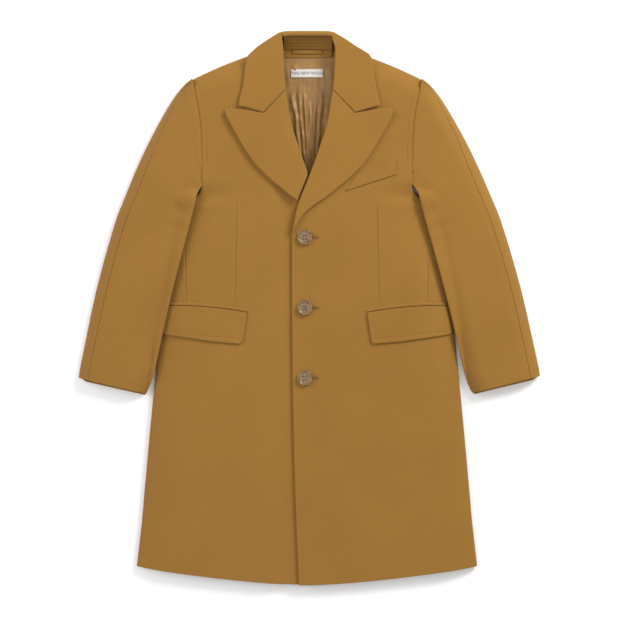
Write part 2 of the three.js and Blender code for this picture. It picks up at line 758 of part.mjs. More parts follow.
const flapCorner = 12;
const mouthAt = (x, outer) => lerp(flapTop - flapSlope, flapTop, (x - flapInner) / (outer - flapInner));
const flapHinges = {};
for (const [side, name] of sides) {
  const outer = sleeveInner(side, flapTop) - flapClear;
  const lowY = flapTop - flapDepth + 10;
  const outerLow = sleeveInner(side, lowY) - flapClear;
  const innerTop = [flapInner, flapTop - flapSlope];
  const innerLow = [flapInner + 9, flapTop - flapSlope - flapDepth + 5];
  const outerBase = [outerLow, lowY];
  const outerTop = [outer, flapTop];
  const flap = [
    innerTop,
    ...corner(innerTop, innerLow, outerBase, flapCorner),
    ...corner(innerLow, outerBase, outerTop, flapCorner),
    outerTop,
  ];
  add(name + "_pocket_flap", frontPly(side, onFront - flapThick, flapThick, { outline: flap }), "wool");
  flapHinges[name] = [innerTop, outerTop];
  const jet = [
    [innerTop[0] - 2, innerTop[1] + clearance],
    [outerTop[0], outerTop[1] + clearance],
    [outerTop[0], outerTop[1] + jetWidth],
    [innerTop[0] - 2, innerTop[1] + jetWidth],
  ];
  add(name + "_pocket_jet", frontPly(side, onFront - wool, wool, { outline: jet }), "wool");
  const bag = [
    [flapInner + 4, mouthAt(flapInner, outer) - 2],
    [outer - 14, mouthAt(outer, outer) - 2],
    [outer - 20, flapTop - pocketDeep + 22],
    [outer - 44, flapTop - pocketDeep],
    [flapInner + 26, flapTop - pocketDeep],
    [flapInner + 4, flapTop - pocketDeep + 22],
  ];
  add(name + "_pocket_bag", frontPly(side, canvasDepth, pouch, { outline: bag }), "satin");
}

const welt = [
  [weltLeft[0] + 7.3, weltLeft[1] + 20.3],
  [weltLeft[0] - 15.7, weltLeft[1] - 11.2],
  [weltRight[0] + 2.2, weltRight[1] - 12.7],
  [weltRight[0] - 2.1, weltRight[1] + 14.4],
];
add("breast_welt", frontPly(1, onFront - weltThick, weltThick, { outline: welt }), "wool");
const breastBag = [
  [weltLeft[0] + 20, weltLeft[1] - 8],
  [weltRight[0] - 6, weltRight[1] - 16],
  [weltRight[0] - 6, weltRight[1] - 120],
  [weltLeft[0] + 20, weltRight[1] - 120],
];
add("breast_pocket_bag", frontPly(1, fillDepth, pouch, { outline: breastBag }), "satin");

// ---- Buttons, their thread and the buttonholes ----------------------------------------------------

const turned = (points) => {
  const profile = points.map(([r, z]) => new THREE.Vector2(r, z));
  return new THREE.LatheGeometry(profile, 32).rotateX(Math.PI / 2);
};
const post = (radius, low, high, sidesOf = 10) =>
  new THREE.CylinderGeometry(radius, radius, high - low, sidesOf)
    .rotateX(Math.PI / 2)
    .translate(0, 0, (low + high) / 2);
const corners = [
  [1, 1],
  [-1, 1],
  [-1, -1],
  [1, -1],
].map(([x, y]) => [x * holePitch, y * holePitch]);

const buttonRadius = buttonAcross / 2;
const dishRadius = buttonRadius - 4.6;
const dishDeep = 1.2;
const buttonProfile = [
  [0, 0],
  [buttonRadius - 1.6, 0],
  [buttonRadius - 0.4, 0.8],
  [buttonRadius, 2],
  [buttonRadius - 0.5, 3.3],
  [buttonRadius - 1.8, buttonThick],
  [dishRadius + 1, buttonThick],
  [dishRadius, buttonThick - dishDeep],
  [0, buttonThick - dishDeep],
];
const threadRadius = 0.8;
const spreadThick = 0.6;
["top", "middle", "bottom"].forEach((name, i) => {
  const y = buttonYs[i];
  const onCloth = frontTop(buttonX, y);
  const low = onCloth + shankLift;
  let button = solidOf(turned(buttonProfile).translate(buttonX, y, low));
  const face = low + buttonThick - dishDeep;
  const shankLow = onCloth - dip(-1, buttonX) + clearance;
  const spreadTop = low - clearance;
  const spread = post(holePitch * 1.5 + threadRadius, spreadTop - spreadThick, spreadTop, 16);
  const shank = post(shankRadius, shankLow, spreadTop - spreadThick / 2);
  let thread = solidOf(shank.translate(buttonX, y, 0));
  thread = thread.add(solidOf(spread.translate(buttonX, y, 0)));
  for (const [dx, dy] of corners) {
    const hole = post(holeRadius, low - 1, face + 1).translate(buttonX + dx, y + dy, 0);
    button = button.subtract(solidOf(hole));
    const strand = post(threadRadius, spreadTop - spreadThick / 2, face + 1.1, 8);
    thread = thread.add(solidOf(strand.translate(buttonX + dx, y + dy, 0)));
  }
  for (const dy of [-holePitch, holePitch]) {
    const stitchLong = 2 * holePitch + threadRadius;
    const stitch = new THREE.BoxGeometry(stitchLong, threadRadius * 1.5, threadRadius);
    stitch.translate(buttonX, y + dy, face + clearance + threadRadius / 2);
    thread = thread.add(solidOf(stitch));
  }
  add(name + "_button", button, "horn");
  add(name + "_button_thread", thread, "thread");
  const worked = prism(keyhole(y, stitchWidth)).subtract(prism(keyhole(y, 0.2)));
  const onEdge = frontPly(1, onFront - stitchThick, stitchThick).intersect(worked);
  add(name + "_buttonhole_edge", onEdge, "thread");
});

// ---- Hanger loop and label ------------------------------------------------------------------------

const rectangle = (x0, y0, x1, y1) => [
  [x0, y0],
  [x1, y0],
  [x1, y1],
  [x0, y1],
];
const loopTop = standLow - 2;
const loopUnder = backInside + wool + clearance;
const loopOutline = rectangle(-loopLength / 2, loopTop - loopWidth, loopLength / 2, loopTop);
add("hanger_loop", backPly(loopUnder, loopThick, loopOutline), "wool");
const [labelWide, labelHigh] = labelSize;
const labelUnder = backInside + lining + clearance;
const labelLow = labelY - labelHigh / 2;
const labelOutline = rectangle(-labelWide / 2, labelLow, labelWide / 2, labelLow + labelHigh);
add("neck_label", backPly(labelUnder, labelThick, labelOutline), "label");

// The shift puts the origin under the middle of the coat.
const box = new THREE.Box3().setFromObject(coat);
coat.position.set(-(box.min.x + box.max.x) / 2, -(box.min.y + box.max.y) / 2, -box.min.z);

export default coat;
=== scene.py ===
"""A camel wool overcoat, single-breasted with wide peak lapels, buttoned and lying flat on its back."""

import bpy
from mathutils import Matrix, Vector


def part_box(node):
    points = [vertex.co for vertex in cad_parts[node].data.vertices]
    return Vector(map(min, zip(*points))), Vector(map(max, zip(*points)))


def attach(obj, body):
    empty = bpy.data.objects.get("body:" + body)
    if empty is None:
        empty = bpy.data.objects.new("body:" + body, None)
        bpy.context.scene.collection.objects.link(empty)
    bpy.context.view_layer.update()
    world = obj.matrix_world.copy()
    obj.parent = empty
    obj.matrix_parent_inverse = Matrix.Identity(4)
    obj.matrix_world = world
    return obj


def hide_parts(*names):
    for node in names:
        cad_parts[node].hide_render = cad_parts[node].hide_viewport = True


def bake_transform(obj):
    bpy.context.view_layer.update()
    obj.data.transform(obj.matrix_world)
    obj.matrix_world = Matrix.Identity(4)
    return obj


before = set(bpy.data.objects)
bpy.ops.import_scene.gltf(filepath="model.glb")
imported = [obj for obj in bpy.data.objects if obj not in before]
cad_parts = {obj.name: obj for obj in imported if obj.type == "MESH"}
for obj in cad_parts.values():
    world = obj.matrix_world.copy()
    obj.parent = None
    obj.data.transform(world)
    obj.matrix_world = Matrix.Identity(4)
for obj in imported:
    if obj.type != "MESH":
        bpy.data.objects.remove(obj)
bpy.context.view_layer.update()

import math

import bpy
import numpy as np
from mathutils import Vector, noise

# ---- Camera, floor and light ----------------------------------------------------------------------
# The coat lies on a white sweep of paper. The camera hangs straight above its middle. A wide soft
# light stands on each side, and the paper and a pale sky fill the shadows.

field = 1.1594
lens = 85
look_at = Vector((0.0012, -0.0021, 0.03))
camera = bpy.data.objects.new("camera", bpy.data.cameras.new("camera"))
bpy.context.scene.collection.objects.link(camera)
camera.data.lens = lens
camera.data.sensor_width = 36
camera.location = look_at + Vector((0, 0, field * lens / 36))
bpy.context.scene.camera = camera

bpy.ops.object.select_all(action="DESELECT")
bpy.ops.mesh.primitive_plane_add(size=9, location=(0, 0, -0.0006))
paper = bpy.context.object
paper.name = "paper_floor"
paper_white = bpy.data.materials.new("paper_white")
paper_white.use_nodes = True
paper_shader = paper_white.node_tree.nodes["Principled BSDF"]
paper_shader.inputs["Base Color"].default_value = (0.96, 0.96, 0.96, 1)
paper_shader.inputs["Roughness"].default_value = 0.9
paper.data.materials.append(paper_white)


def soft_light(name, place, size, power, colour=(1, 1, 1)):
    lamp = bpy.data.lights.new(name, "AREA")
    lamp.size = size
    lamp.energy = power
    lamp.color = colour
    stand = bpy.data.objects.new(name, lamp)
    bpy.context.scene.collection.objects.link(stand)
    stand.location = place
    stand.rotation_euler = Vector(place).to_track_quat("Z", "Y").to_euler()


soft_light("key_light", (1.9, 2.0, 1.8), 1.1, 84, (1, 0.985, 0.96))
soft_light("fill_light", (-2.3, 0.9, 1.9), 1.8, 36)
soft_light("top_light", (0.1, -0.4, 3.6), 2.6, 30)
sky = bpy.data.worlds.new("pale_sky")
sky.use_nodes = True
sky.node_tree.nodes["Background"].inputs["Color"].default_value = (1, 1, 1, 1)
sky.node_tree.nodes["Background"].inputs["Strength"].default_value = 0.5
bpy.context.scene.world = sky
bpy.context.scene.view_settings.view_transform = "Standard"

# ---- Fronts ---------------------------------------------------------------------------------------
# Two wide panels of thick wool cloth, each shaped with a waist dart and a short side seam that end
# at the pocket. The left one laps over the right. Each turns under at the side and the shoulder.
# Measures are in millimetres from the middle of the back neck, with x out to the wearer's left.

label_low, label_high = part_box("neck_label")
label_y = 445
middle = Vector(((label_low.x + label_high.x) / 2, (label_low.y + label_high.y) / 2 - label_y / 1000))

wool_thick = 2.4
collar_top, coat_length = 520, 1038
hem_y = collar_top - coat_length
hem_rise, hem_half, hem_ease = 34, 317, -400
hem_side = hem_y + hem_rise
chest_half, side_bow = 250, 3
underarm = 200
shoulder_tip, shoulder_neck, shoulder_bow = (216, 430), (78, 485), 4
armhole_half, armhole_low, underarm_rise = 196, 300, 35
skirt_loft, chest_loft, fold_loft, shoulder_loft = 21, 36, 11, 22
side_run, arm_run, shoulder_run = 60, 105, 42
edge_x, edge_swing, break_y, underlap, underlap_run, under_dip = -28.5, 13.5, 141, 50, 45, 6
neck_x = 4
roll_points = [
    (48, 491), (47, 450), (43.7, 412), (33, 348), (18.5, 301), (1.5, 253), (-18, 204), (-26.7, 172),
    (-32.5, 141)
]
sides = ((1, "left"), (-1, "right"))


def mix(a, b, t):
    return a + (b - a) * t


def smooth(value, low, high):
    t = min(1, max(0, (value - low) / (high - low)))
    return t * t * (3 - 2 * t)


def rise(d, run, low, high):
    return high if d >= run else low + (high - low) * (1 - (1 - max(0, d) / run) ** 2)


def bump_at(value, centre, width):
    return math.exp(-(((value - centre) / width) ** 2))


def curve(points, count):
    """Points on a smooth line through the given ones."""
    p = np.array([points[0], *points, points[-1]], float)
    line = []
    for s in np.linspace(0, len(points) - 1, count + 1):
        i = min(int(s), len(points) - 2)
        t = s - i
        a, b, c, d = p[i : i + 4]
        line.append(
            0.5 * (
                2 * b + (c - a) * t + (2 * a - 5 * b + 4 * c - d) * t * t
                + (3 * b - a - 3 * c + d) * t**3
            )
        )
    return np.array(line)


def along(line, shares):
    """Points at these shares of a line's length."""
    line = np.array(line, float)
    step = np.linalg.norm(np.diff(line, axis=0), axis=1)
    run = np.r_[0, np.cumsum(step)] / step.sum()
    return np.stack([np.interp(shares, run, line[:, k]) for k in range(line.shape[1])], 1)


roll = curve(roll_points, 80)


def roll_at(y):
    return float(np.interp(y, roll[::-1, 1], roll[::-1, 0]))


def hem_at(x):
    return hem_y + hem_rise * min(1, abs(x) / hem_half) ** 1.5


def hem_share(y):
    """How much of the hem's curve a row follows: all of it at the hem, none above hem_ease."""
    return max(0.0, min(1.0, (hem_ease - y) / (hem_ease - hem_y)))


def side_fold(y):
    t = (underarm - y) / (underarm - hem_side)
    return mix(chest_half, hem_half, t) + side_bow * 4 * t * (1 - t)


def body_half(y):
    if y <= underarm:
        return side_fold(y)
    turned = (underarm + underarm_rise - y) / underarm_rise
    if turned > 0:
        return chest_half - (chest_half - armhole_half) * math.sqrt(1 - turned**2)
    up = max(0, (y - armhole_low) / (shoulder_tip[1] - armhole_low))
    return armhole_half + (shoulder_tip[0] - armhole_half) * up**2.2


def shoulder_at(x):
    t = (shoulder_tip[0] - abs(x)) / (shoulder_tip[0] - shoulder_neck[0])
    return mix(shoulder_tip[1], shoulder_neck[1], t) + shoulder_bow * 4 * t * (1 - t)


shoulder_line = [(x, shoulder_at(x)) for x in np.linspace(shoulder_tip[0], 60, 60)]


def outline_at(y):
    """How far out the body reaches at y: side fold, armhole, then shoulder line."""
    if y <= shoulder_tip[1]:
        return body_half(y)
    return float(np.interp(y, [p[1] for p in shoulder_line], [p[0] for p in shoulder_line]))


def side_closed(y):
    return 1 - smooth(y, underarm + 16, underarm + 45)


def crown(y):
    return mix(skirt_loft, chest_loft, smooth(y, hem_y, 330))


def front_top(x, y):
    """Height of the outside of the fronts."""
    loft = crown(y)
    run = mix(side_run, arm_run, smooth(y, underarm - 150, underarm - 30))
    side = rise(body_half(min(y, shoulder_tip[1])) - abs(x), run, fold_loft, loft)
    shoulder = rise(shoulder_at(x) - y, shoulder_run, shoulder_loft, loft)
    return min(mix(side, loft, smooth(y, underarm - 20, underarm + 45)), shoulder)


drags = [
    ((-30, 118), (-112, 196), 7, 0.9), ((-34, 100), (-130, 150), 9, 0.7),
    ((-30, -20), (-96, 34), 9, 0.5), ((20, 118), (96, 168), 9, 0.5),
    ((24, -20), (100, 26), 10, 0.45), ((-150, 330), (-170, 250), 10, 0.5),
    ((160, 340), (150, 250), 10, 0.5)
]


def drape(x, y):
    """The slight lie of heavy cloth: broad waves, and faint drag lines beside the buttons and arms."""
    lie = 1.1 * noise.noise(
        Vector((x / 150, y / 230, 3.7))
    ) + 0.35 * noise.noise(Vector((x / 46, y / 70, 8.1)))
    for (ax, ay), (bx, by), width, high in drags:
        dx, dy = bx - ax, by - ay
        long = math.hypot(dx, dy)
        t = ((x - ax) * dx + (y - ay) * dy) / long**2
        if -0.2 < t < 1.2:
            away = ((x - ax) * dy - (y - ay) * dx) / long
            lie += high * math.exp(-((away / width) ** 2)) * smooth(t, -0.2, 0.2) * (
                1 - smooth(t, 0.5, 1.2)
            )
    return lie * smooth(body_half(min(y, 430)) + 2 - abs(x), 0, 40)


def height(x, y):
    return front_top(x, y) + drape(x, y)


def front_edge(y):
    return edge_x + edge_swing * (max(0, break_y - y) / (break_y - hem_y)) ** 2.5


def inner_edge(side, y):
    """The edge of a front towards the other one: its own edge, and above the break the roll."""
    if side > 0:
        return front_edge(y) if y < break_y else roll_at(y) + neck_x
    under = -front_edge(min(y, break_y)) - underlap
    return under if y < break_y else max(under, roll_at(y) - neck_x)


def dip(side, x):
    return 0 if side > 0 else under_dip * smooth(-x, edge_x - underlap_run, edge_x)


close = (0, 0.07, 0.28, 0.65, 1.2, 2, 3.2, 5)  # rows lie this close to a cut or folded edge
stitch_in = 9


def spaced(length, step, stitched=False):
    """Shares of a length: close together near both ends, and beside a stitch line."""
    near = [*close[:-1], *((6.6, 8, 8.6, 9, 9.4, 10) if stitched else ())]
    first = 12 if stitched else close[-1]
    count = max(2, round((length - 2 * first) / step))
    return np.array(
        [
            *near, *np.linspace(first, length - first, count + 1),
            *[length - e for e in reversed(near)]
        ]
    ) / length


def between(a, b, first, last, count):
    """Places from a to b, close together near both as these two lists say."""
    k = min(1, (b - a) / (2 * (first[-1] + last[-1])))
    ends = [b - k * e for e in reversed(last)]
    return [
        *[a + k * e for e in first[:-1]], *np.linspace(a + k * first[-1], ends[0], count + 1),
        *ends[1:]
    ]


def patch(left, right, low, top, u, v):
    """A grid of points spread between four edge lines."""
    lines = [np.array(line, float) for line in (left, right, low, top)]
    west, east = along(lines[0], v)[:, None], along(lines[1], v)[:, None]
    south, north = along(lines[2], u)[None], along(lines[3], u)[None]
    s, t = u[None, :, None], v[:, None, None]
    corners = (1 - s) * (1 - t) * west[0, 0] + s * (1 - t) * east[0, 0]
    corners = corners + (1 - s) * t * west[-1, 0] + s * t * east[-1, 0]
    return (1 - s) * west + s * east + (1 - t) * south + t * north - corners


def laid(side, flat_grid, lift):
    """Gives a flat grid its height, and puts it on its own side of the coat."""
    grid = [[(x, y, lift(x, y)) for x, y in row] for row in flat_grid]
    return mirrored(side, grid)


def mirrored(side, grid):
    grid = np.array(grid, float)
    if side < 0:
        grid[..., 0] *= -1
        grid = grid[:, ::-1]
    return grid


def in_place(points):
    """Millimetres on the coat to metres in the frame."""
    p = np.array(points, float) / 1000
    p[..., 0] += middle.x
    p[..., 1] += middle.y
    return p


def piece_of(name, verts, faces, material):
    mesh = bpy.data.meshes.new(name)
    mesh.from_pydata([tuple(v) for v in verts], [], [tuple(int(i) for i in f) for f in faces])
    mesh.polygons.foreach_set("use_smooth", [True] * len(mesh.polygons))
    mesh.materials.append(material)
    mesh.update()
    piece = bpy.data.objects.new(name, mesh)
    bpy.context.scene.collection.objects.link(piece)
    return piece


def cloth(
    name, grid, thick, material, nodes, body=None, fold=None, soft_edge=0.5, grooves=None,
):
    """A ply of cloth about a grid of points, with round edges."""
    grid = np.array(grid, float)
    across, up = np.gradient(grid, axis=1), np.gradient(grid, axis=0)
    normal = np.cross(across, up)
    normal /= np.maximum(np.linalg.norm(normal, axis=2, keepdims=True), 1e-9)
    step_u = np.linalg.norm(np.diff(grid, axis=1), axis=2)
    step_v = np.linalg.norm(np.diff(grid, axis=0), axis=2)
    from_left = np.pad(np.cumsum(step_u, 1), ((0, 0), (1, 0)))
    from_low = np.pad(np.cumsum(step_v, 0), ((1, 0), (0, 0)))
    from_right, from_top = from_left[:, -1:] - from_left, from_low[-1:] - from_low
    depth = np.minimum.reduce([from_left, from_right, from_low, from_top])
    if grooves is not None:
        grid = grid + normal * grooves(from_left, from_right, from_low, from_top)[..., None]
    half = thick / 2 * np.sqrt(1 - (1 - np.clip(depth / (thick * soft_edge), 0, 1)) ** 2)
    upper, lower = grid + normal * half[..., None], grid - normal * half[..., None]
    rows, columns = grid.shape[:2]
    top = np.arange(rows * columns).reshape(rows, columns)
    bottom = top.copy()
    bottom[1:-1, 1:-1] = rows * columns + np.arange(
        (rows - 2) * (columns - 2)
    ).reshape(rows - 2, columns - 2)
    verts = np.concatenate([upper.reshape(-1, 3), lower[1:-1, 1:-1].reshape(-1, 3)])
    quads = lambda g: np.stack([g[:-1, :-1], g[:-1, 1:], g[1:, 1:], g[1:, :-1]], -1).reshape(-1, 4)
    faces = np.concatenate([quads(top), quads(bottom)[:, ::-1]])
    piece = piece_of(name, in_place(verts), faces, material)
    if fold:
        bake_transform(piece)
    else:
        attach(piece, body or "coat")
    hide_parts(*([nodes] if isinstance(nodes, str) else nodes))
    return piece


def shader_of(name, **values):
    """A new material and its shader, with the values that are the same all over it."""
    material = bpy.data.materials.new(name)
    material.use_nodes = True
    shader = material.node_tree.nodes["Principled BSDF"]
    for key, value in values.items():
        shader.inputs[key.replace("_", " ").title().replace("Ior", "IOR")].default_value = value
    return material, shader


def weave_group():
    """Cloth seen close: diagonal or plain threads, loose fibres on them, a slow random drift of tone,
    and painted shade where the weave lies low.
    """
    group = bpy.data.node_groups.new("weave", "ShaderNodeTree")
    take = lambda name, kind, value: setattr(
        group.interface.new_socket(name, in_out="INPUT", socket_type=kind), "default_value", value
    )
    take("Colour", "NodeSocketColor", (0.5, 0.5, 0.5, 1))
    take("Dark Colour", "NodeSocketColor", (0.3, 0.3, 0.3, 1))
    take("Threads", "NodeSocketFloat", 300)
    take("Slant", "NodeSocketFloat", 0.8)
    take("Nap", "NodeSocketFloat", 0.5)
    take("Drift", "NodeSocketFloat", 0.3)
    group.interface.new_socket("Colour", in_out="OUTPUT", socket_type="NodeSocketColor")
    group.interface.new_socket("Height", in_out="OUTPUT", socket_type="NodeSocketFloat")
    nodes, links = group.nodes, group.links
    given, result = nodes.new("NodeGroupInput"), nodes.new("NodeGroupOutput")
    place = nodes.new("ShaderNodeTexCoord")
    turn = nodes.new("ShaderNodeVectorRotate")
    turn.rotation_type = "Z_AXIS"
    links.new(place.outputs["Object"], turn.inputs["Vector"])
    links.new(given.outputs["Slant"], turn.inputs["Angle"])
    rib = nodes.new("ShaderNodeTexWave")
    rib.inputs["Distortion"].default_value = 1.2
    rib.inputs["Detail"].default_value = 2
    rib.inputs["Detail Scale"].default_value = 1.5
    links.new(turn.outputs["Vector"], rib.inputs["Vector"])
    links.new(given.outputs["Threads"], rib.inputs["Scale"])
    fibre = nodes.new("ShaderNodeTexNoise")
    fibre.inputs["Scale"].default_value = 900
    fibre.inputs["Detail"].default_value = 4
    fibre.inputs["Roughness"].default_value = 0.7
    links.new(place.outputs["Object"], fibre.inputs["Vector"])
    felt = nodes.new("ShaderNodeTexNoise")
    felt.inputs["Scale"].default_value = 210
    felt.inputs["Detail"].default_value = 5
    links.new(place.outputs["Object"], felt.inputs["Vector"])
    cloud = nodes.new("ShaderNodeTexNoise")
    cloud.inputs["Scale"].default_value = 9
    cloud.inputs["Detail"].default_value = 3
    links.new(place.outputs["Object"], cloud.inputs["Vector"])

    def maths(kind, a, b):
        node = nodes.new("ShaderNodeMath")
        node.operation = kind
        for socket, value in zip(node.inputs, (a, b)):
            if isinstance(value, float):
                socket.default_value = value
            else:
                links.new(value, socket)
        return node.outputs[0]

    fuzz = maths(
        "ADD", maths("MULTIPLY", fibre.outputs[0], 0.6), maths("MULTIPLY", felt.outputs[0], 0.6)
    )
    # The nap's height: it feeds the bump, and through shade below it also darkens the colour.
    nap_height = maths("MULTIPLY", fuzz, given.outputs["Nap"])
    high = maths("ADD", nap_height, maths("MULTIPLY", rib.outputs["Fac"], 0.35))
    # The colour turns dark where the fibres and ribs lie low. This is painted shade in the weave's
    # hollows, laid over the random tone of the fibre and felt noise.
    shade = maths("SUBTRACT", 1.0, high)
    drift = maths("MULTIPLY", maths("SUBTRACT", cloud.outputs[0], 0.5), given.outputs["Drift"])
    blend = nodes.new("ShaderNodeMix")
    blend.data_type = "RGBA"
    links.new(maths("ADD", maths("MULTIPLY", shade, 0.55), drift), blend.inputs["Factor"])
    links.new(given.outputs["Colour"], blend.inputs["A"])
    links.new(given.outputs["Dark Colour"], blend.inputs["B"])
    links.new(blend.outputs["Result"], result.inputs["Colour"])
    links.new(high, result.inputs["Height"])
    return group


weave = weave_group()


def woven(name, colour, dark, threads, slant, nap, drift, relief, **values):
    """A cloth material: the weave feeds the shader's colour, with painted shade where the weave lies
    low, and its bump.
    """
    material, shader = shader_of(name, **values)
    nodes, links = material.node_tree.nodes, material.node_tree.links
    grain = nodes.new("ShaderNodeGroup")
    grain.node_tree = weave
    for key, value in (
        ("Colour", (*colour, 1)), ("Dark Colour", (*dark, 1)), ("Threads", threads),
        ("Slant", slant), ("Nap", nap), ("Drift", drift)
    ):
        grain.inputs[key].default_value = value
    links.new(grain.outputs["Colour"], shader.inputs["Base Color"])
    bump = nodes.new("ShaderNodeBump")
    bump.inputs["Strength"].default_value = relief
    bump.inputs["Distance"].default_value = 0.0006
    links.new(grain.outputs["Height"], bump.inputs["Height"])
    links.new(bump.outputs["Normal"], shader.inputs["Normal"])
    return material


wool = woven(
    "camel_wool", (0.30, 0.150, 0.029), (0.175, 0.078, 0.012), 260, 0.85, 0.8, 0.35, 0.45,
    roughness=0.92, specular_ior_level=0.18, sheen_weight=0.12, sheen_roughness=0.55,
    sheen_tint=(1, 0.82, 0.55, 1)
)

dart_top, dart_low = (130.5, 203), (135, 10)
side_seam_top, side_seam_low = (229, 112), (225, 14)
beside_dart = (0, 0.7, 1.5, 2.6, 3.6, 4.8, 8)
beside_armhole = (0, 3, 5.6, 6.6, 7.2, 7.6, 8, 8.6, 9.8, 12)
armhole_stitch = 8.5
turn_angles = np.radians([50, 38, 26, 14, 2, -12, -26, -42, -58, -72, -82, -88, -90])


def seam_x(top, low, y):
    return mix(low[0], top[0], min(1, max(0, (y - low[1]) / (top[1] - low[1]))))


def seam_mark(top, low, x, y):
    """A pressed dart or seam: a sharp valley with the ridge of its turnings beside it."""
    d = x - seam_x(top, low, y)
    ends = smooth(y, low[1] - 6, low[1] + 4) * (1 - smooth(y, top[1] - 16, top[1] + 6))
    return ends * (0.35 * bump_at(d, 3.4, 1.6) - 1.05 * bump_at(d, 0, 0.9))


def front_grid(side):
    rows = []
    nominal = [hem_y + e for e in close] + list(np.arange(hem_y + 12, 205, 8))
    nominal += list(np.arange(206, 482, 5.5)) + [482, 483.4, 484]
    for y0 in nominal:
        inner, outer = inner_edge(side, y0), outline_at(y0)
        free = smooth(y0, 225, 330)
        dart = mix(seam_x(dart_top, dart_low, y0), mix(inner, outer, 0.5), free)
        seam = mix(
            seam_x(side_seam_top, side_seam_low, y0), mix(inner, outer, 0.8), smooth(y0, 130, 226)
        )
        low, high = outline_at(y0 - 1), outline_at(y0 + 1)
        out = np.array([2, low - high])
        out = out / np.linalg.norm(out)
        closed, top = side_closed(y0), smooth(y0, 412, 430)
        open_arm = max(0, 1 - closed - top)
        radius = 8 * closed + 2.5 * open_arm + 7 * top
        turned_in = radius * (1 - math.cos(turn_angles[0]))
        join = np.array([outer, y0]) - out * turned_in
        places = between(inner, dart, close, beside_dart, 13)
        places += between(dart, seam, beside_dart, beside_dart, 9)[1:]
        places += between(seam, join[0], beside_dart, beside_armhole, 8)[1:]
        lift = hem_share(y0)
        row = []
        for x in places:
            share = max(0, (x - dart) / (join[0] - dart)) if join[0] > dart else 0
            y = y0 + (hem_at(x) - hem_y) * lift + (join[1] - y0) * share
            z = height(x * side, y) - dip(side, x) - wool_thick / 2
            z += seam_mark(dart_top, dart_low, x, y) + seam_mark(side_seam_top, side_seam_low, x, y)
            stitched = smooth(y0, 262, 276) * (1 - smooth(y0, 424, 432))
            z -= 0.75 * bump_at(outline_at(y0) - x, armhole_stitch, 0.9) * stitched
            row.append((x, y, z))
        start = row[-1]
        under = 1.3 * closed + (start[2] - 6) * open_arm + 5 * top
        s = math.sin(turn_angles[0])
        crest = (2 * start[2] - under * (1 - s)) / (1 + s)
        for angle in turn_angles[1:]:
            gone = radius * (1 - math.cos(angle)) - turned_in
            z = (crest + under) / 2 + (crest - under) / 2 * math.sin(angle)
            row.append((start[0] - out[0] * gone, start[1] - out[1] * gone, z))
        rows.append(row)
    return mirrored(side, rows)


# These two points mark the line along which the lower corner folds back. The pieces given this line are
# only baked in place, and nothing folds them.
corner_inner, corner_outer = (-29.5, -168), (197.5, -503.3)
fold_way = np.array([corner_inner[1] - corner_outer[1], corner_outer[0] - corner_inner[0]], float)
fold_way /= -np.linalg.norm(fold_way)
fold_mid = np.array(
    [(corner_inner[0] + corner_outer[0]) / 2, (corner_inner[1] + corner_outer[1]) / 2]
)
corner_fold = (
    "coat", "front_corner", tuple(in_place([*fold_mid, 0])),
    tuple(in_place([*(fold_mid + 50 * fold_way), 0]))
)

cloth(
    "left_front_panel", front_grid(1), wool_thick, wool,
    ("left_front", "left_front_corner"), fold=corner_fold
)
cloth("right_front_panel", front_grid(-1), wool_thick, wool, "right_front")

# ---- Facings and front linings --------------------------------------------------------------------
# Inside each front, a wide wool facing runs from the hem up the front edge to the shoulder. The
# satin lining is sewn to it and reaches the side. Hair canvas and a shoulder pad lie between.

facing_seam = 110
facing_thick, facing_depth = 2.2, 2.7
lining_thick, lining_depth = 0.7, 5.7
satin = woven(
    "lining_satin", (0.36, 0.188, 0.046), (0.20, 0.098, 0.021), 520, 0.1, 0.25, 0.5, 0.16,
    roughness=0.42, specular_ior_level=0.5, sheen_weight=0.1, sheen_roughness=0.3,
    sheen_tint=(1, 0.86, 0.66, 1), anisotropic=0.35
)
canvas = woven(
    "hair_canvas", (0.62, 0.53, 0.37), (0.36, 0.28, 0.17), 190, 0, 0.5, 0.3, 0.8, roughness=0.95,
    specular_ior_level=0.15
)
wadding = woven(
    "felted_wadding", (0.80, 0.76, 0.67), (0.62, 0.57, 0.47), 90, 0.4, 1.0, 0.4, 0.9, roughness=1,
    specular_ior_level=0.1
)


def under_ply(side, first, last, low, high, depth, thick, hem_up=0):
    """A ply inside a front, between two lines across and two heights up it."""
    rows = []
    widest = max(last(y) - first(y) for y in (low, mix(low, high, 0.5), high))
    for y0 in (low + (high - low) * spaced(high - low, 13)):
        a, b = first(y0), last(y0)
        lift = hem_share(y0)
        row = []
        for x in a + (b - a) * spaced(widest, 9):
            y = y0 + (hem_at(x) - hem_y) * lift
            row.append((x, y, height(x * side, y) - dip(side, x) - depth(x, y) - thick / 2))
        rows.append(row)
    return mirrored(side, rows)


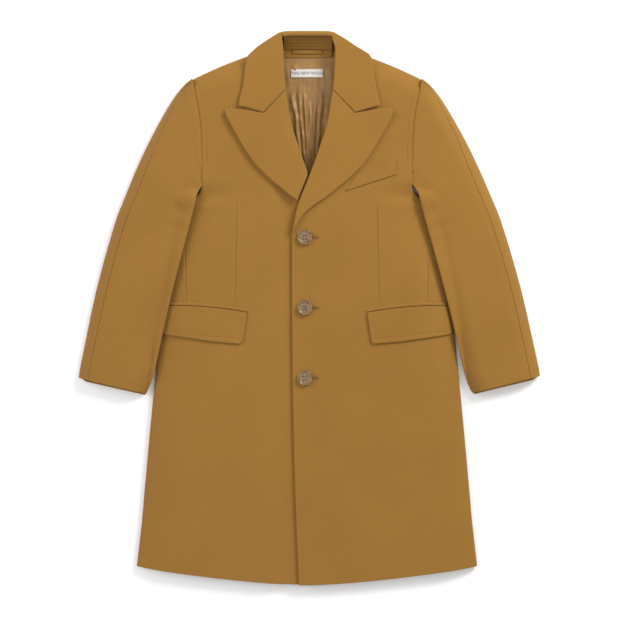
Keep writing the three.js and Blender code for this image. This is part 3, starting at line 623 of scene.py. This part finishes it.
for side, name in sides:
    corner = ["left_facing_corner"] if side > 0 else []
    fold = corner_fold if side > 0 else None
    edge = lambda y, side=side: inner_edge(side, y) + 0.8
    reach = lambda y: min(facing_seam, outline_at(y) - 4)
    facing_grid = under_ply(
        side, edge, reach, hem_y + 1, 452, lambda x, y: facing_depth, facing_thick
    )
    cloth(
        f"{name}_facing_panel", facing_grid, facing_thick, wool,
        [f"{name}_facing", *corner], fold=fold
    )
    corner = ["left_front_lining_corner"] if side > 0 else []
    below_pad = lambda x, y: lining_depth + 8.6 * smooth(y, 330, 372) * smooth(x, 95, 128)
    lining_grid = under_ply(
        side, lambda y: min(104, outline_at(y) - 30),
        lambda y: outline_at(y) - 9.5 - 12 * (1 - side_closed(y)), hem_y + 25, 466, below_pad,
        lining_thick
    )
    cloth(
        f"{name}_front_lining_panel", lining_grid, lining_thick, satin,
        [f"{name}_front_lining", *corner], fold=fold
    )
    canvas_grid = under_ply(
        side, lambda y: min(facing_seam + 1.5, outline_at(y) - 40),
        lambda y: min(outline_at(y) - 10, 206), 60, 462, lambda x, y: 2.7, 1
    )
    cloth(f"{name}_canvas_panel", canvas_grid, 1, canvas, f"{name}_chest_canvas")
    pad_grid = under_ply(
        side, lambda y: 122, lambda y: min(outline_at(y) - 8, 208), 371, 452, lambda x, y: 4.2, 7.6
    )
    cloth(
        f"{name}_pad", pad_grid, 7.6, wadding, f"{name}_shoulder_pad", soft_edge=4,
    )

# ---- Back and back lining -------------------------------------------------------------------------
# The back is cut in two with a seam down its middle, and lies flat on the floor. Its satin lining
# shows inside the neck, where the pleat down its middle falls into soft upright folds.

neck_lift, fall_edge = 5.7, 462


def floor_at(y):
    return neck_lift * smooth(y, fall_edge - 62, fall_edge)


back_top = 487
for side, name in sides:
    rows = []
    for y0 in hem_y + (back_top - hem_y) * spaced(back_top - hem_y, 16):
        out = outline_at(min(y0, 484)) - (8.6 * side_closed(y0) + 3 * (1 - side_closed(y0)))
        lift = hem_share(y0)
        row = []
        for x in 0.2 + (out - 0.2) * spaced(300, 11):
            y = y0 + (hem_at(x) - hem_y) * lift
            row.append((x, y, floor_at(y) + wool_thick / 2))
        rows.append(row)
    cloth(f"{name}_back_panel", mirrored(side, rows), wool_thick, wool, f"{name}_back")

pleats = [
    (-30, -9, 4.4, 3.8), (-17, -3, 3.6, 5.2), (-6, 2, 3, 6.2), (4, 6, 3.4, 5), (16, 10, 3.8, 6),
    (30, 15, 4.4, 4)
]


def lining_fall(x, y):
    """Height of the folds of the lining inside the neck. They run together towards the waist."""
    down = min(1.0, max(0.0, (425 - y) / 165))
    fold_up = 0
    for top_x, low_x, width, high in pleats:
        at = mix(top_x, low_x, down) + 2.2 * noise.noise(Vector((top_x, y / 38, 1)))
        fold_up += high * bump_at(x, at, mix(width, 2.6, down))
    crinkle = noise.noise(Vector((x / 8, y / 26, 5))) + 0.6 * noise.noise(Vector((x / 17, y / 11, 9)))
    inside = smooth(y, 225, 250) * (1 - smooth(y, 452, 466)) * smooth(72 - abs(x), 0, 14)
    return inside * (0.95 * fold_up * smooth(down, 0, 0.35) + 1.5 * crinkle + 1.2)


columns = [*np.linspace(-300, -66, 22), *np.linspace(-64, 64, 92), *np.linspace(66, 300, 22)]
rows = []
for y in [*np.linspace(hem_y + 26, 232, 48), *np.linspace(234, 478, 150)]:
    reach = min(1.0, (outline_at(min(y, 480)) - 12) / 302)
    squeeze = lambda x: x if abs(x) <= 64 else math.copysign(
        64 + (abs(x) - 64) * max(0.02, (302 * reach - 64) / 238), x
    )
    lift = hem_share(y)
    rows.append(
        [
            (
                squeeze(x), y + (hem_at(squeeze(x)) - hem_y) * lift,
                3.1 + floor_at(y) + lining_fall(squeeze(x), y)
            )
            for x in columns
        ]
    )
cloth("back_lining_panel", rows, 0.7, satin, "back_lining")

# ---- Back neck facing, hanger loop and label ------------------------------------------------------
# A narrow wool facing closes the lining under the collar. The loop that the coat hangs by is sewn
# to it, and a small woven label sits below on the lining.

neck_half = 47
facing_rows = [
    [
        (x, y, 10.2 + 0.3 * noise.noise(Vector((x / 20, y / 9, 0))))
        for x in -neck_half + 2 * neck_half * spaced(94, 4)
    ]
    for y in 474 + 14.5 * spaced(14.5, 2)
]
cloth("back_neck_strip", facing_rows, 2.2, wool, "back_neck_facing")

loop_x, loop_y = (-28.5, 28.5), (481, 488)
loop_rows = [
    [
        (x, y, 12.4 + 1.3 * math.sin(math.pi * (x - loop_x[0]) / 57) + 0.25 * math.sin(x / 2.2))
        for x in loop_x[0] + 57 * spaced(57, 2)
    ]
    for y in loop_y[0] + 7 * spaced(11, 1)
]
cloth(
    "hanger_loop_strip", loop_rows, 1.9, wool, "hanger_loop", body="hanger_loop",
)

label_cloth = woven(
    "label_damask", (0.72, 0.70, 0.66), (0.46, 0.44, 0.41), 420, 0.0, 0.3, 0.2, 0.3, roughness=0.6,
    specular_ior_level=0.4
)
label_wide, label_tall = 60, 15.5


def label_rest(x, y):
    return 9.6 + 0.5 * lining_fall(x, y) + 0.25 * math.sin(x / 9)


label_rows = [
    [(x, y, label_rest(x, y)) for x in label_wide * (spaced(label_wide, 2) - 0.5)]
    for y in label_y + label_tall * (spaced(label_tall, 1.5) - 0.5)
]
cloth("neck_label_patch", label_rows, 0.7, label_cloth, "neck_label")

ink, _ = shader_of("label_thread", roughness=0.8, base_color=(0.06, 0.07, 0.10, 1))
bpy.ops.object.select_all(action="DESELECT")
bpy.ops.object.text_add(location=(0, 0, 0))
lettering = bpy.context.object
lettering.name = "label_lettering"
lettering.data.body = "PURE NEW WOOL"
lettering.data.align_x, lettering.data.align_y = "CENTER", "CENTER"
lettering.data.size = 0.0074
lettering.data.extrude = 0.00012
bpy.ops.object.convert(target="MESH")
for vertex in lettering.data.vertices:
    x, y = vertex.co.x * 1000, vertex.co.y * 1000
    vertex.co = Vector(
        in_place([x, y + label_y, label_rest(x, y + label_y) + 0.42 + vertex.co.z * 1000])
    )
lettering.data.materials.append(ink)
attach(lettering, "coat")

# ---- Lapels ---------------------------------------------------------------------------------------
# The top of each front rolls back on itself as a wide lapel, two plies of wool with canvas between.
# Its peak points up to the shoulder, and the left one lies over the end of the right.

lapel_thick = 5.4
on_front = 0.3
gorge, notch = (44.5, 409), (85, 366.5)
lapel_edge = [
    (-30.5, 146), (-21, 160.6), (-9.5, 178), (8, 193), (33, 210), (55, 228), (80, 249),
    (110, 282.5), (145, 342), (155.6, 364)
]
lapel_tip = [(155.6, 364), (156.8, 369.5), (152, 375.3), (120, 372.3)]


def lapel_lift(side, x, y):
    """The lapel lies on the chest, and springs up a little along its roll and at its peak."""
    rolled = abs(x - (roll_at(y) + side * neck_x))
    spring = 0.9 * bump_at(rolled, 12, 12) + 1.0 * bump_at(math.hypot(x - 154, y - 370), 0, 40)
    return crown(y) + on_front + lapel_thick / 2 + spring + 0.8 + 0.5 * drape(side * x, y)


def lapel_grid(side):
    shift = lambda points: [(x + side * neck_x, y) for x, y in points]
    own_roll = [tuple(p) for p in roll[::-1] if p[1] < gorge[1] - 2]
    if side > 0:
        inner = shift([*own_roll, gorge])
        outer = shift([*curve(lapel_edge, 60)])
    else:
        tucked = [(-(roll_at(y) + neck_x - 3.5), y) for y in np.linspace(203.5, 250, 12)]
        inner = [*tucked, *shift([p for p in own_roll if p[1] > 254]), *shift([gorge])]
        outer = [(20.5, 205.2), *shift([p for p in curve(lapel_edge, 60) if p[1] > 210.5])]
    top = shift(
        [
            gorge,
            *[(mix(gorge[0], notch[0], t), mix(gorge[1], notch[1], t)) for t in (0.25, 0.5, 0.75)],
            notch, *reversed(curve(lapel_tip, 8)[1:])
        ]
    )
    outer = [*outer, top[-1]]
    low = [inner[0], outer[0]]
    flat = patch(inner, outer, low, top, spaced(110, 3.2), spaced(280, 3.6))
    return laid(side, flat, lambda x, y: lapel_lift(side, x, y))


held_end = ("coat", "right_lapel", tuple(in_place([0, 235, 0])), tuple(in_place([0, 310, 0])))
cloth(
    "left_lapel_panel", lapel_grid(1), lapel_thick, wool, "left_lapel", body="left_lapel",
    soft_edge=0.55
)
cloth(
    "right_lapel_panel", lapel_grid(-1), lapel_thick, wool,
    ("right_lapel", "right_lapel_end"), fold=held_end, soft_edge=0.55
)

# ---- Collar ---------------------------------------------------------------------------------------
# The collar stands up behind the neck, folds over, and comes down on each side to the notch. The
# stand shows inside the neck, with its rows of machine stitching. The fall hangs down behind.

wing_points = [(131.5, 379.8), (132, 385), (124.7, 416), (120.5, 445), (117, 467), (111, 477)]
fold_side = (92, 490.6)
wing_mid = chest_loft + on_front + lapel_thick / 2


def wing_grid(side):
    shift = lambda points: [(x + side * neck_x, y) for x, y in points]
    inner = [
        *shift([(44.7, 409.4), (43.9, 413), (46.2, 440), (47.3, 465), (48, 489)]), (46.5, 505),
        (45.2, 517.4)
    ]
    outer = [*shift(curve(wing_points, 24)), fold_side, (70, 505.6), (50.5, 517.6)]
    low = shift(
        [
            (44.7, 409.4), (58.2, 395.2), (72, 381), (85.4, 367.1), (100, 371.4), (118, 376.6),
            (128.5, 378.6), (131.5, 379.8)
        ]
    )
    top = [inner[-1], outer[-1]]
    flat = patch(inner, outer, low, top, spaced(84, 3), spaced(140, 3))
    spring = lambda x, y: 1.1 * bump_at(
        math.hypot(x - 128, y - 384), 0, 30
    ) + 0.5 * noise.noise(Vector((x / 40, y / 50, side)))
    sink = lambda x, y: 2.4 * smooth(y, 497, 520)
    return laid(side, flat, lambda x, y: wing_mid + spring(x, y) - sink(x, y))


for side, name in sides:
    lapel_fold = ("coat", f"{name}_lapel", tuple(in_place([0, 505, 0])), tuple(in_place([0, 452, 0])))
    cloth(
        f"{name}_collar_panel", wing_grid(side), lapel_thick, wool, f"{name}_collar_wing",
        fold=lapel_fold, soft_edge=0.55
    )

stand_low, stand_high = (489.5, 10.2), (515.3, 39.4)
stitch_rows = (0.17, 0.34, 0.56)


def stand_point(x, t):
    bow = 2.2 * math.sin(math.pi * t) - 1.5 * (x / 46) ** 2
    mark = sum(0.55 * bump_at(t, s, 0.022) for s in stitch_rows)
    y = mix(stand_low[0], stand_high[0], t) + bow * 0.6 + mark
    return (x, y, mix(stand_low[1], stand_high[1], t) - bow * 0.5 - mark)


stand_rows = [
    [stand_point(x, t) for x in -44 + 92 * spaced(92, 4)]
    for t in np.unique(
        np.r_[
            spaced(38, 1.4), [s + e for s in stitch_rows for e in (-0.03, -0.015, 0, 0.015, 0.03)]
        ]
    )
]
cloth("collar_stand_panel", stand_rows, 3.2, wool, "collar_stand")

fall_path = curve(
    [
        (94, 487.5), (81, 498), (66, 508), (54, 515.4), (44, 519.2), (22, 520), (0, 520),
        (-22, 520), (-44, 519.2), (-54, 515.4), (-66, 508), (-81, 498), (-94, 487.5)
    ],
    120
)
fall_thick = 4.4
fall_rows = []
for i, (x, y) in enumerate(fall_path):
    ahead = fall_path[min(i + 1, 120)] - fall_path[max(i - 1, 0)]
    out = np.array([ahead[1], -ahead[0]]) / np.linalg.norm(ahead)
    behind = 1 - smooth(abs(x), 44, 54)
    peak_z = mix(35.0, 40.6, behind)
    lip = mix(2.5, 5.5, behind)
    row = [(x - out[0] * (lip + 2.3), y - out[1] * (lip + 2.3), peak_z - mix(3.5, 0.8, behind))]
    for angle in np.radians([115, 95, 75, 55, 35, 15, 0]):
        gone = 2.3 + lip * (1 - math.cos(angle))
        row.append((x - out[0] * gone, y - out[1] * gone, peak_z - 5 + 5 * math.sin(angle)))
    for z in np.linspace(peak_z - 8, 8, 9):
        row.append((x - out[0] * 2.3, y - out[1] * 2.3, z))
    for angle in np.radians([-20, -45, -70, -90]):
        gone = 2.3 + 4 * (1 - math.cos(angle))
        row.append((x - out[0] * gone, y - out[1] * gone, 6.4 + 4 * math.sin(angle)))
    foot = row[-1]
    for further in np.linspace(6, foot[1] - fall_edge, 8):
        row.append((foot[0] * (1 - 0.12 * further / 50), foot[1] - further, 2.35))
    fall_rows.append(row[::-1])
cloth(
    "collar_fall_panel", np.array(fall_rows).transpose(1, 0, 2)[:, ::-1], fall_thick, wool,
    "collar_fall"
)

# ---- Sleeves --------------------------------------------------------------------------------------
# Each sleeve is cut in two, a wide topsleeve and a narrower undersleeve. They meet along the hind
# arm, near the outer fold, with a stitch line beside the seam. Wadding fills the sleeve head.

stations = np.array(
    [
        [[198, 262], [218.5, 431]], [[201, 240], [243, 408]], [[206.5, 218], [275, 357]],
        [[213, 190], [311, 288]], [[222, 157], [346.5, 206]], [[235, 110], [366.5, 153]],
        [[265, -4], [398.5, 40]], [[292, -119], [424, -75]], [[309.5, -161], [435.8, -131.6]]
    ],
    float
)
station_rows = len(stations) - 1
sleeve_loft, cuff_loft, sleeve_edge, hind_seam, sleeve_rest, full_row = 35, 26, 0.42, 20, 6.5, 3
sleeve_swing = math.radians(0.45)
beside_stitch = (0, 0.1, 0.35, 0.8, 1.5, 2.6, 4.4, 5.6, 6.3, 6.8, 7.3, 8, 9.4)


fold_lines = [curve(stations[:, k], 64) for k in (0, 1)]


def station_at(side, row):
    """The inner and outer fold of a sleeve at a row, which may lie part way between stations."""
    at = min(63.999, row / station_rows * 64)
    i, t = int(at), at - int(at)
    pair = [line[i] * (1 - t) + line[i + 1] * t for line in fold_lines]
    turn = side * sleeve_swing
    pivot = np.array(shoulder_tip)
    spin = np.array([[math.cos(turn), -math.sin(turn)], [math.sin(turn), math.cos(turn)]])
    return [pivot + spin @ (p - pivot) for p in pair]


def rest_on(x, y):
    """Height of what a sleeve rests on: the floor, or the side of the body near it."""
    level = min(y, underarm - 1)
    edge = body_half(level)
    on_body = front_top(min(x, edge - 2), level) + sleeve_rest
    return on_body * (1 - smooth(x - edge, 0, 22)) * (1 - smooth(y - underarm, 12, 40))


def sleeve_point(side, row, place, face, depth):
    """A point on a sleeve. place is millimetres from the inner fold; face is 1 on top, -1 below."""
    a, b = station_at(side, row)
    width = math.hypot(*(b - a))
    t = min(1, max(0, place / width))
    x, y = (float(v) for v in a + (b - a) * t)
    head = 1 - smooth(row, 0, 0.9)
    x = mix(x, body_half(min(y, shoulder_tip[1])) + 1.2, head * (row < 1) * (1 - smooth(row, 0, 0.5)))
    x -= 2.6 * smooth(t, 0.86, 1) * (1 - smooth(row, 0, 0.3))
    loft = mix(sleeve_loft, cuff_loft, max(0, row - full_row) / (station_rows - full_row))
    low = rest_on(x, y)
    arched = rise(min(t, 1 - t), 0.25, sleeve_edge * loft, loft)
    sewn = 1 - smooth(row, 1.4, 3) if place < width / 2 else 1 - smooth(row, 0, 1)
    high = mix(max(arched, low + 11), loft, sewn)
    round_to = 12 * smooth(row, 0, 1.2) + 0.01
    inward = min(place, width - place)
    full = math.sqrt(max(0, 1 - (1 - min(1, max(0, inward) / round_to)) ** 2))
    tuck = 0
    if face > 0 and place < width / 2:
        full = mix(full, 1, sewn)
        tuck = bump_at(row, 1.05, 0.6) * (1 - smooth(t, 0, 0.15))
        x -= 8 * tuck
    mid = (low + high) / 2
    wave = 0.9 * noise.noise(Vector((x / 70, y / 120, side * 4))) * smooth(row, 0.3, 1.5) * full
    swell = 1.3 * bump_at(row, 0.35, 0.3) * full * (1 - smooth(t, 0.9, 1))
    crease = 1.6 * bump_at(row, 4.3, 0.22) * bump_at(t, 0.12, 0.2)
    crease += 1.3 * bump_at(row, 4.8, 0.2) * bump_at(t, 0.05, 0.18)
    crease += 0.9 * bump_at(row, 3.6, 0.2) * bump_at(t, 0.1, 0.25)
    seam_in = 2.0 * (1 - smooth(row, 0, 0.12))
    if face > 0:
        z = mid + (high - mid - depth) * full + wave + swell - crease - seam_in - 3 * tuck
    else:
        z = mid - (mid - low - depth) * full
    return (x, y, z)


def sleeve_places(width, seam):
    """Distances across the top of a sleeve, from the inner fold to the hind-arm seam."""
    return between(0, width - seam, (0, 0.12, 0.5, 1.1, 2, 3.3, 5.2, 8, 12), beside_stitch, 17)


cuff_short = 0.15  # rows by which the top of a cuff is shorter than its underside


def seam_at(row):
    return mix(5, hind_seam, min(1, row / full_row))


fine_rows = [
    0, 0.01, 0.03, 0.07, 0.13, 0.22, 0.34, 0.48, 0.66, 0.84, *np.linspace(1, 7.7, 78), 7.78, 7.85,
    7.91, 7.95, 7.98, 7.993, 8
]
for side, name in sides:
    top_rows, under_rows = [], []
    for row in fine_rows:
        a, b = station_at(side, row)
        width = float(np.linalg.norm(b - a))
        short = cuff_short * max(0, row - 7.5) / 0.5
        top_rows.append(
            [
                sleeve_point(side, row - short, p, 1, wool_thick / 2)
                for p in sleeve_places(width, seam_at(row))
            ]
        )
        gap = 0.25
        over = [
            sleeve_point(side, row - short, p, 1, wool_thick / 2)
            for p in between(
                width - seam_at(row) + gap, width, (0, 0.1, 0.35, 0.8, 1.5, 2.6),
                (0, 0.3, 1, 2, 3.4), 5
            )
        ]
        back = [
            sleeve_point(side, row - short * (1 - smooth(width - p, 0, 16)), p, -1, wool_thick / 2)
            for p in between(1.5, width, (0, 0.1, 0.4, 1, 2.4, 5), (0, 0.3, 1, 2, 3.4, 6), 14)[::-1]
        ]
        under_rows.append(over + back[1:])

    def stitched(left, right, low, top, side=side):
        from_seam = right if side > 0 else left
        return -0.45 * np.exp(-(((from_seam - 6.8) / 0.7) ** 2))

    place = mirrored(side, top_rows)
    cloth(
        f"{name}_topsleeve_panel", place[::-1], wool_thick, wool, f"{name}_topsleeve",
        body=f"{name}_sleeve", grooves=stitched
    )
    cloth(
        f"{name}_undersleeve_panel", mirrored(side, under_rows)[::-1], wool_thick, wool,
        f"{name}_undersleeve", body=f"{name}_sleeve"
    )
    for face, part in ((1, "top"), (-1, "under")):
        rows = []
        for row in np.linspace(0.25, 7.55, 50):
            a, b = station_at(side, row)
            width = float(np.linalg.norm(b - a))
            rows.append(
                [
                    sleeve_point(side, row, p, face, 3.6)
                    for p in between(3.4, width - 3.4, (0, 0.2, 1, 3, 6), (0, 0.2, 1, 3, 6), 12)
                ]
            )
        grid = mirrored(side, rows)
        grid = grid[::-1] if face > 0 else grid
        cloth(
            f"{name}_sleeve_lining_{part}", grid, 0.7, satin, f"{name}_sleeve_lining",
            body=f"{name}_sleeve"
        )
    head_rows = []
    for row in np.linspace(0.08, 0.9, 12):
        a, b = station_at(side, row)
        width = float(np.linalg.norm(b - a))
        head_rows.append(
            [sleeve_point(side, row, p, 1, 5.2) for p in width * np.linspace(0.12, 0.72, 26)]
        )
    cloth(
        f"{name}_sleeve_head_roll", mirrored(side, head_rows)[::-1], 2.6, wadding,
        f"{name}_sleeve_head", body=f"{name}_sleeve", soft_edge=2
    )

# ---- Hip pockets ----------------------------------------------------------------------------------
# Each pocket mouth is bound with a narrow jet. A flap of two plies hangs from it, stitched round
# its three free edges, and the bag lies flat inside the front.

flap_thick = 3.0
flap_top_line = [(112, -6), (145, -0.5), (178, 3.4), (205, 5.6), (228, 6.6), (261.5, 6.2)]
flap_low_line = [
    (120.6, -60), (122.5, -63), (127, -64.6), (150, -62.6), (178, -60), (212, -55), (258, -48.2),
    (266.5, -46.4)
]
flap_in_line = [(120.6, -60), (118.6, -50), (112, -6)]
flap_out_line = [(266.5, -46.4), (271.6, -43.6), (273, -38.5), (261.5, 6.2)]
jet_deep = 5.6


def flap_grooves(left, right, low, top):
    d = np.minimum.reduce([left, right, low])
    return -0.45 * np.exp(-(((d - stitch_in) / 0.7) ** 2)) + 0.25 * np.exp(-(((d - 4.5) / 3) ** 2))


for side, name in sides:
    lie = lambda x, y, side=side: height(side * x, y) + on_front + flap_thick / 2 + 1
    flat = patch(
        flap_in_line, flap_out_line, flap_low_line, flap_top_line, spaced(150, 3, True),
        spaced(58, 2.4, True)
    )
    start = np.array([186 * side, 1.5])
    end = start + 9 * np.array([side * 0.079, -1])
    lift_fold = ("coat", f"{name}_flap", tuple(in_place([*start, 0])), tuple(in_place([*end, 0])))
    cloth(
        f"{name}_flap_panel", laid(side, flat, lie), flap_thick, wool,
        f"{name}_pocket_flap", fold=lift_fold, soft_edge=0.6, grooves=flap_grooves
    )
    line = curve(flap_top_line, 60)
    jet_rows = []
    for t in spaced(11, 1):
        jet_rows.append(
            [
                (x - 2 + 3 * i / 60, y + 0.7 + jet_deep * t, height(side * x, y) + 0.6) for i,
                (x, y) in enumerate(line)
            ]
        )
    cloth(
        f"{name}_jet_binding", mirrored(side, jet_rows), 3.2, wool, f"{name}_pocket_jet",
        soft_edge=0.8
    )
    bag = under_ply(side, lambda y: 124, lambda y: 247, -144, 2, lambda x, y: 4.2, 1.1)
    cloth(f"{name}_bag_panel", bag, 1.1, satin, f"{name}_pocket_bag")

# ---- Breast pocket --------------------------------------------------------------------------------
# A slanting welt, sewn down at both ends, covers the mouth of the left breast pocket. Its inner end
# runs up to the lapel.

welt_thick = 2.2
welt_low, welt_right = [(71, 221), (120, 237), (168.6, 252.8)], [
    (168.6, 252.8), (166.9, 266), (164.9, 278.8)
]
welt_left, welt_top = [(71, 221), (84, 238), (93.6, 252.6)], [
    (93.6, 252.6), (130, 266.4), (164.9, 278.8)
]


def welt_grooves(left, right, low, top):
    return -0.3 * np.exp(-(((right - 2.6) / 0.6) ** 2))


flat = patch(welt_left, welt_right, welt_low, welt_top, spaced(98, 3), spaced(29, 2))
cloth(
    "breast_welt_panel", laid(1, flat, lambda x, y: height(x, y) + on_front + welt_thick / 2),
    welt_thick, wool, "breast_welt", soft_edge=0.6, grooves=welt_grooves
)
cloth(
    "breast_bag_panel", under_ply(1, lambda y: 107, lambda y: 160, 146, 247, lambda x, y: 4.2, 1.1),
    1.1, satin, "breast_pocket_bag"
)

# ---- Buttons --------------------------------------------------------------------------------------
# Three large buttons turned from light brown horn, dished inside a raised rim, with four holes.
# Each stands on a shank of thread at the end of a keyhole buttonhole.

button_radius, button_thick, hole_pitch, hole_radius = 14, 4.0, 3.1, 1.15
horn, horn_shader = shader_of(
    "horn", roughness=0.32, specular_ior_level=0.5, coat_weight=0.25, coat_roughness=0.2
)
horn_nodes, horn_links = horn.node_tree.nodes, horn.node_tree.links
place = horn_nodes.new("ShaderNodeTexCoord")
streak = horn_nodes.new("ShaderNodeTexNoise")
streak.inputs["Scale"].default_value = 150
streak.inputs["Detail"].default_value = 4
streak.inputs["Distortion"].default_value = 2.5
horn_links.new(place.outputs["Object"], streak.inputs["Vector"])
tone = horn_nodes.new("ShaderNodeValToRGB")
tone.color_ramp.elements[0].position, tone.color_ramp.elements[0].color = 0.34, (
    0.075, 0.036, 0.012, 1
)
tone.color_ramp.elements[1].position, tone.color_ramp.elements[1].color = 0.66, (
    0.27, 0.155, 0.058, 1
)
horn_links.new(streak.outputs[0], tone.inputs["Fac"])
horn_links.new(tone.outputs["Color"], horn_shader.inputs["Base Color"])

thread = woven(
    "buttonhole_thread", (0.26, 0.135, 0.036), (0.09, 0.042, 0.010), 420, 0.0, 0.4, 0.2, 0.9,
    roughness=0.7, specular_ior_level=0.3
)


def modifier_on(piece, kind, **values):
    made = piece.modifiers.new(kind.lower(), kind)
    for key, value in values.items():
        setattr(made, key, value)
    bpy.context.view_layer.objects.active = piece
    bpy.ops.object.modifier_apply(modifier=made.name)


bpy.ops.object.select_all(action="DESELECT")
bpy.ops.mesh.primitive_cylinder_add(
    vertices=72, radius=button_radius / 1000, depth=button_thick / 1000
)
pattern = bpy.context.object
pattern.name = "button_pattern"
bpy.ops.object.mode_set(mode="EDIT")
bpy.ops.mesh.select_all(action="DESELECT")
bpy.ops.object.mode_set(mode="OBJECT")
for face in pattern.data.polygons:
    face.select = face.normal.z > 0.9
bpy.ops.object.mode_set(mode="EDIT")
bpy.ops.mesh.inset(thickness=0.0024)
bpy.ops.mesh.inset(thickness=0.0012)
bpy.ops.transform.translate(value=(0, 0, -0.0011))
bpy.ops.mesh.inset(thickness=0.0040)
bpy.ops.transform.translate(value=(0, 0, -0.0003))
bpy.ops.object.mode_set(mode="OBJECT")
modifier_on(
    pattern, "BEVEL", width=0.0007, segments=3, limit_method="ANGLE", angle_limit=math.radians(28)
)
for sx in (-1, 1):
    for sy in (-1, 1):
        bpy.ops.mesh.primitive_cylinder_add(
            vertices=20, radius=hole_radius / 1000, depth=0.02,
            location=(sx * hole_pitch / 1000, sy * hole_pitch / 1000, 0)
        )
        drill = bpy.context.object
        modifier_on(pattern, "BOOLEAN", object=drill, operation="DIFFERENCE", solver="EXACT")
        bpy.data.objects.remove(drill)
bpy.ops.object.select_all(action="DESELECT")
pattern.select_set(True)
bpy.context.view_layer.objects.active = pattern
bpy.ops.object.shade_smooth_by_angle(angle=math.radians(32))
pattern.data.materials.append(horn)

for name in ("top", "middle", "bottom"):
    low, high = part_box(f"{name}_button")
    button = pattern.copy()
    button.data = pattern.data.copy()
    button.name = f"{name}_horn_button"
    bpy.context.scene.collection.objects.link(button)
    for vertex in button.data.vertices:
        vertex.co += (low + high) / 2
    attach(button, f"{name}_button")
    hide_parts(f"{name}_button")
    for node in (f"{name}_button_thread", f"{name}_buttonhole_edge"):
        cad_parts[node].data.materials.clear()
        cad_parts[node].data.materials.append(thread)
bpy.data.objects.remove(pattern)
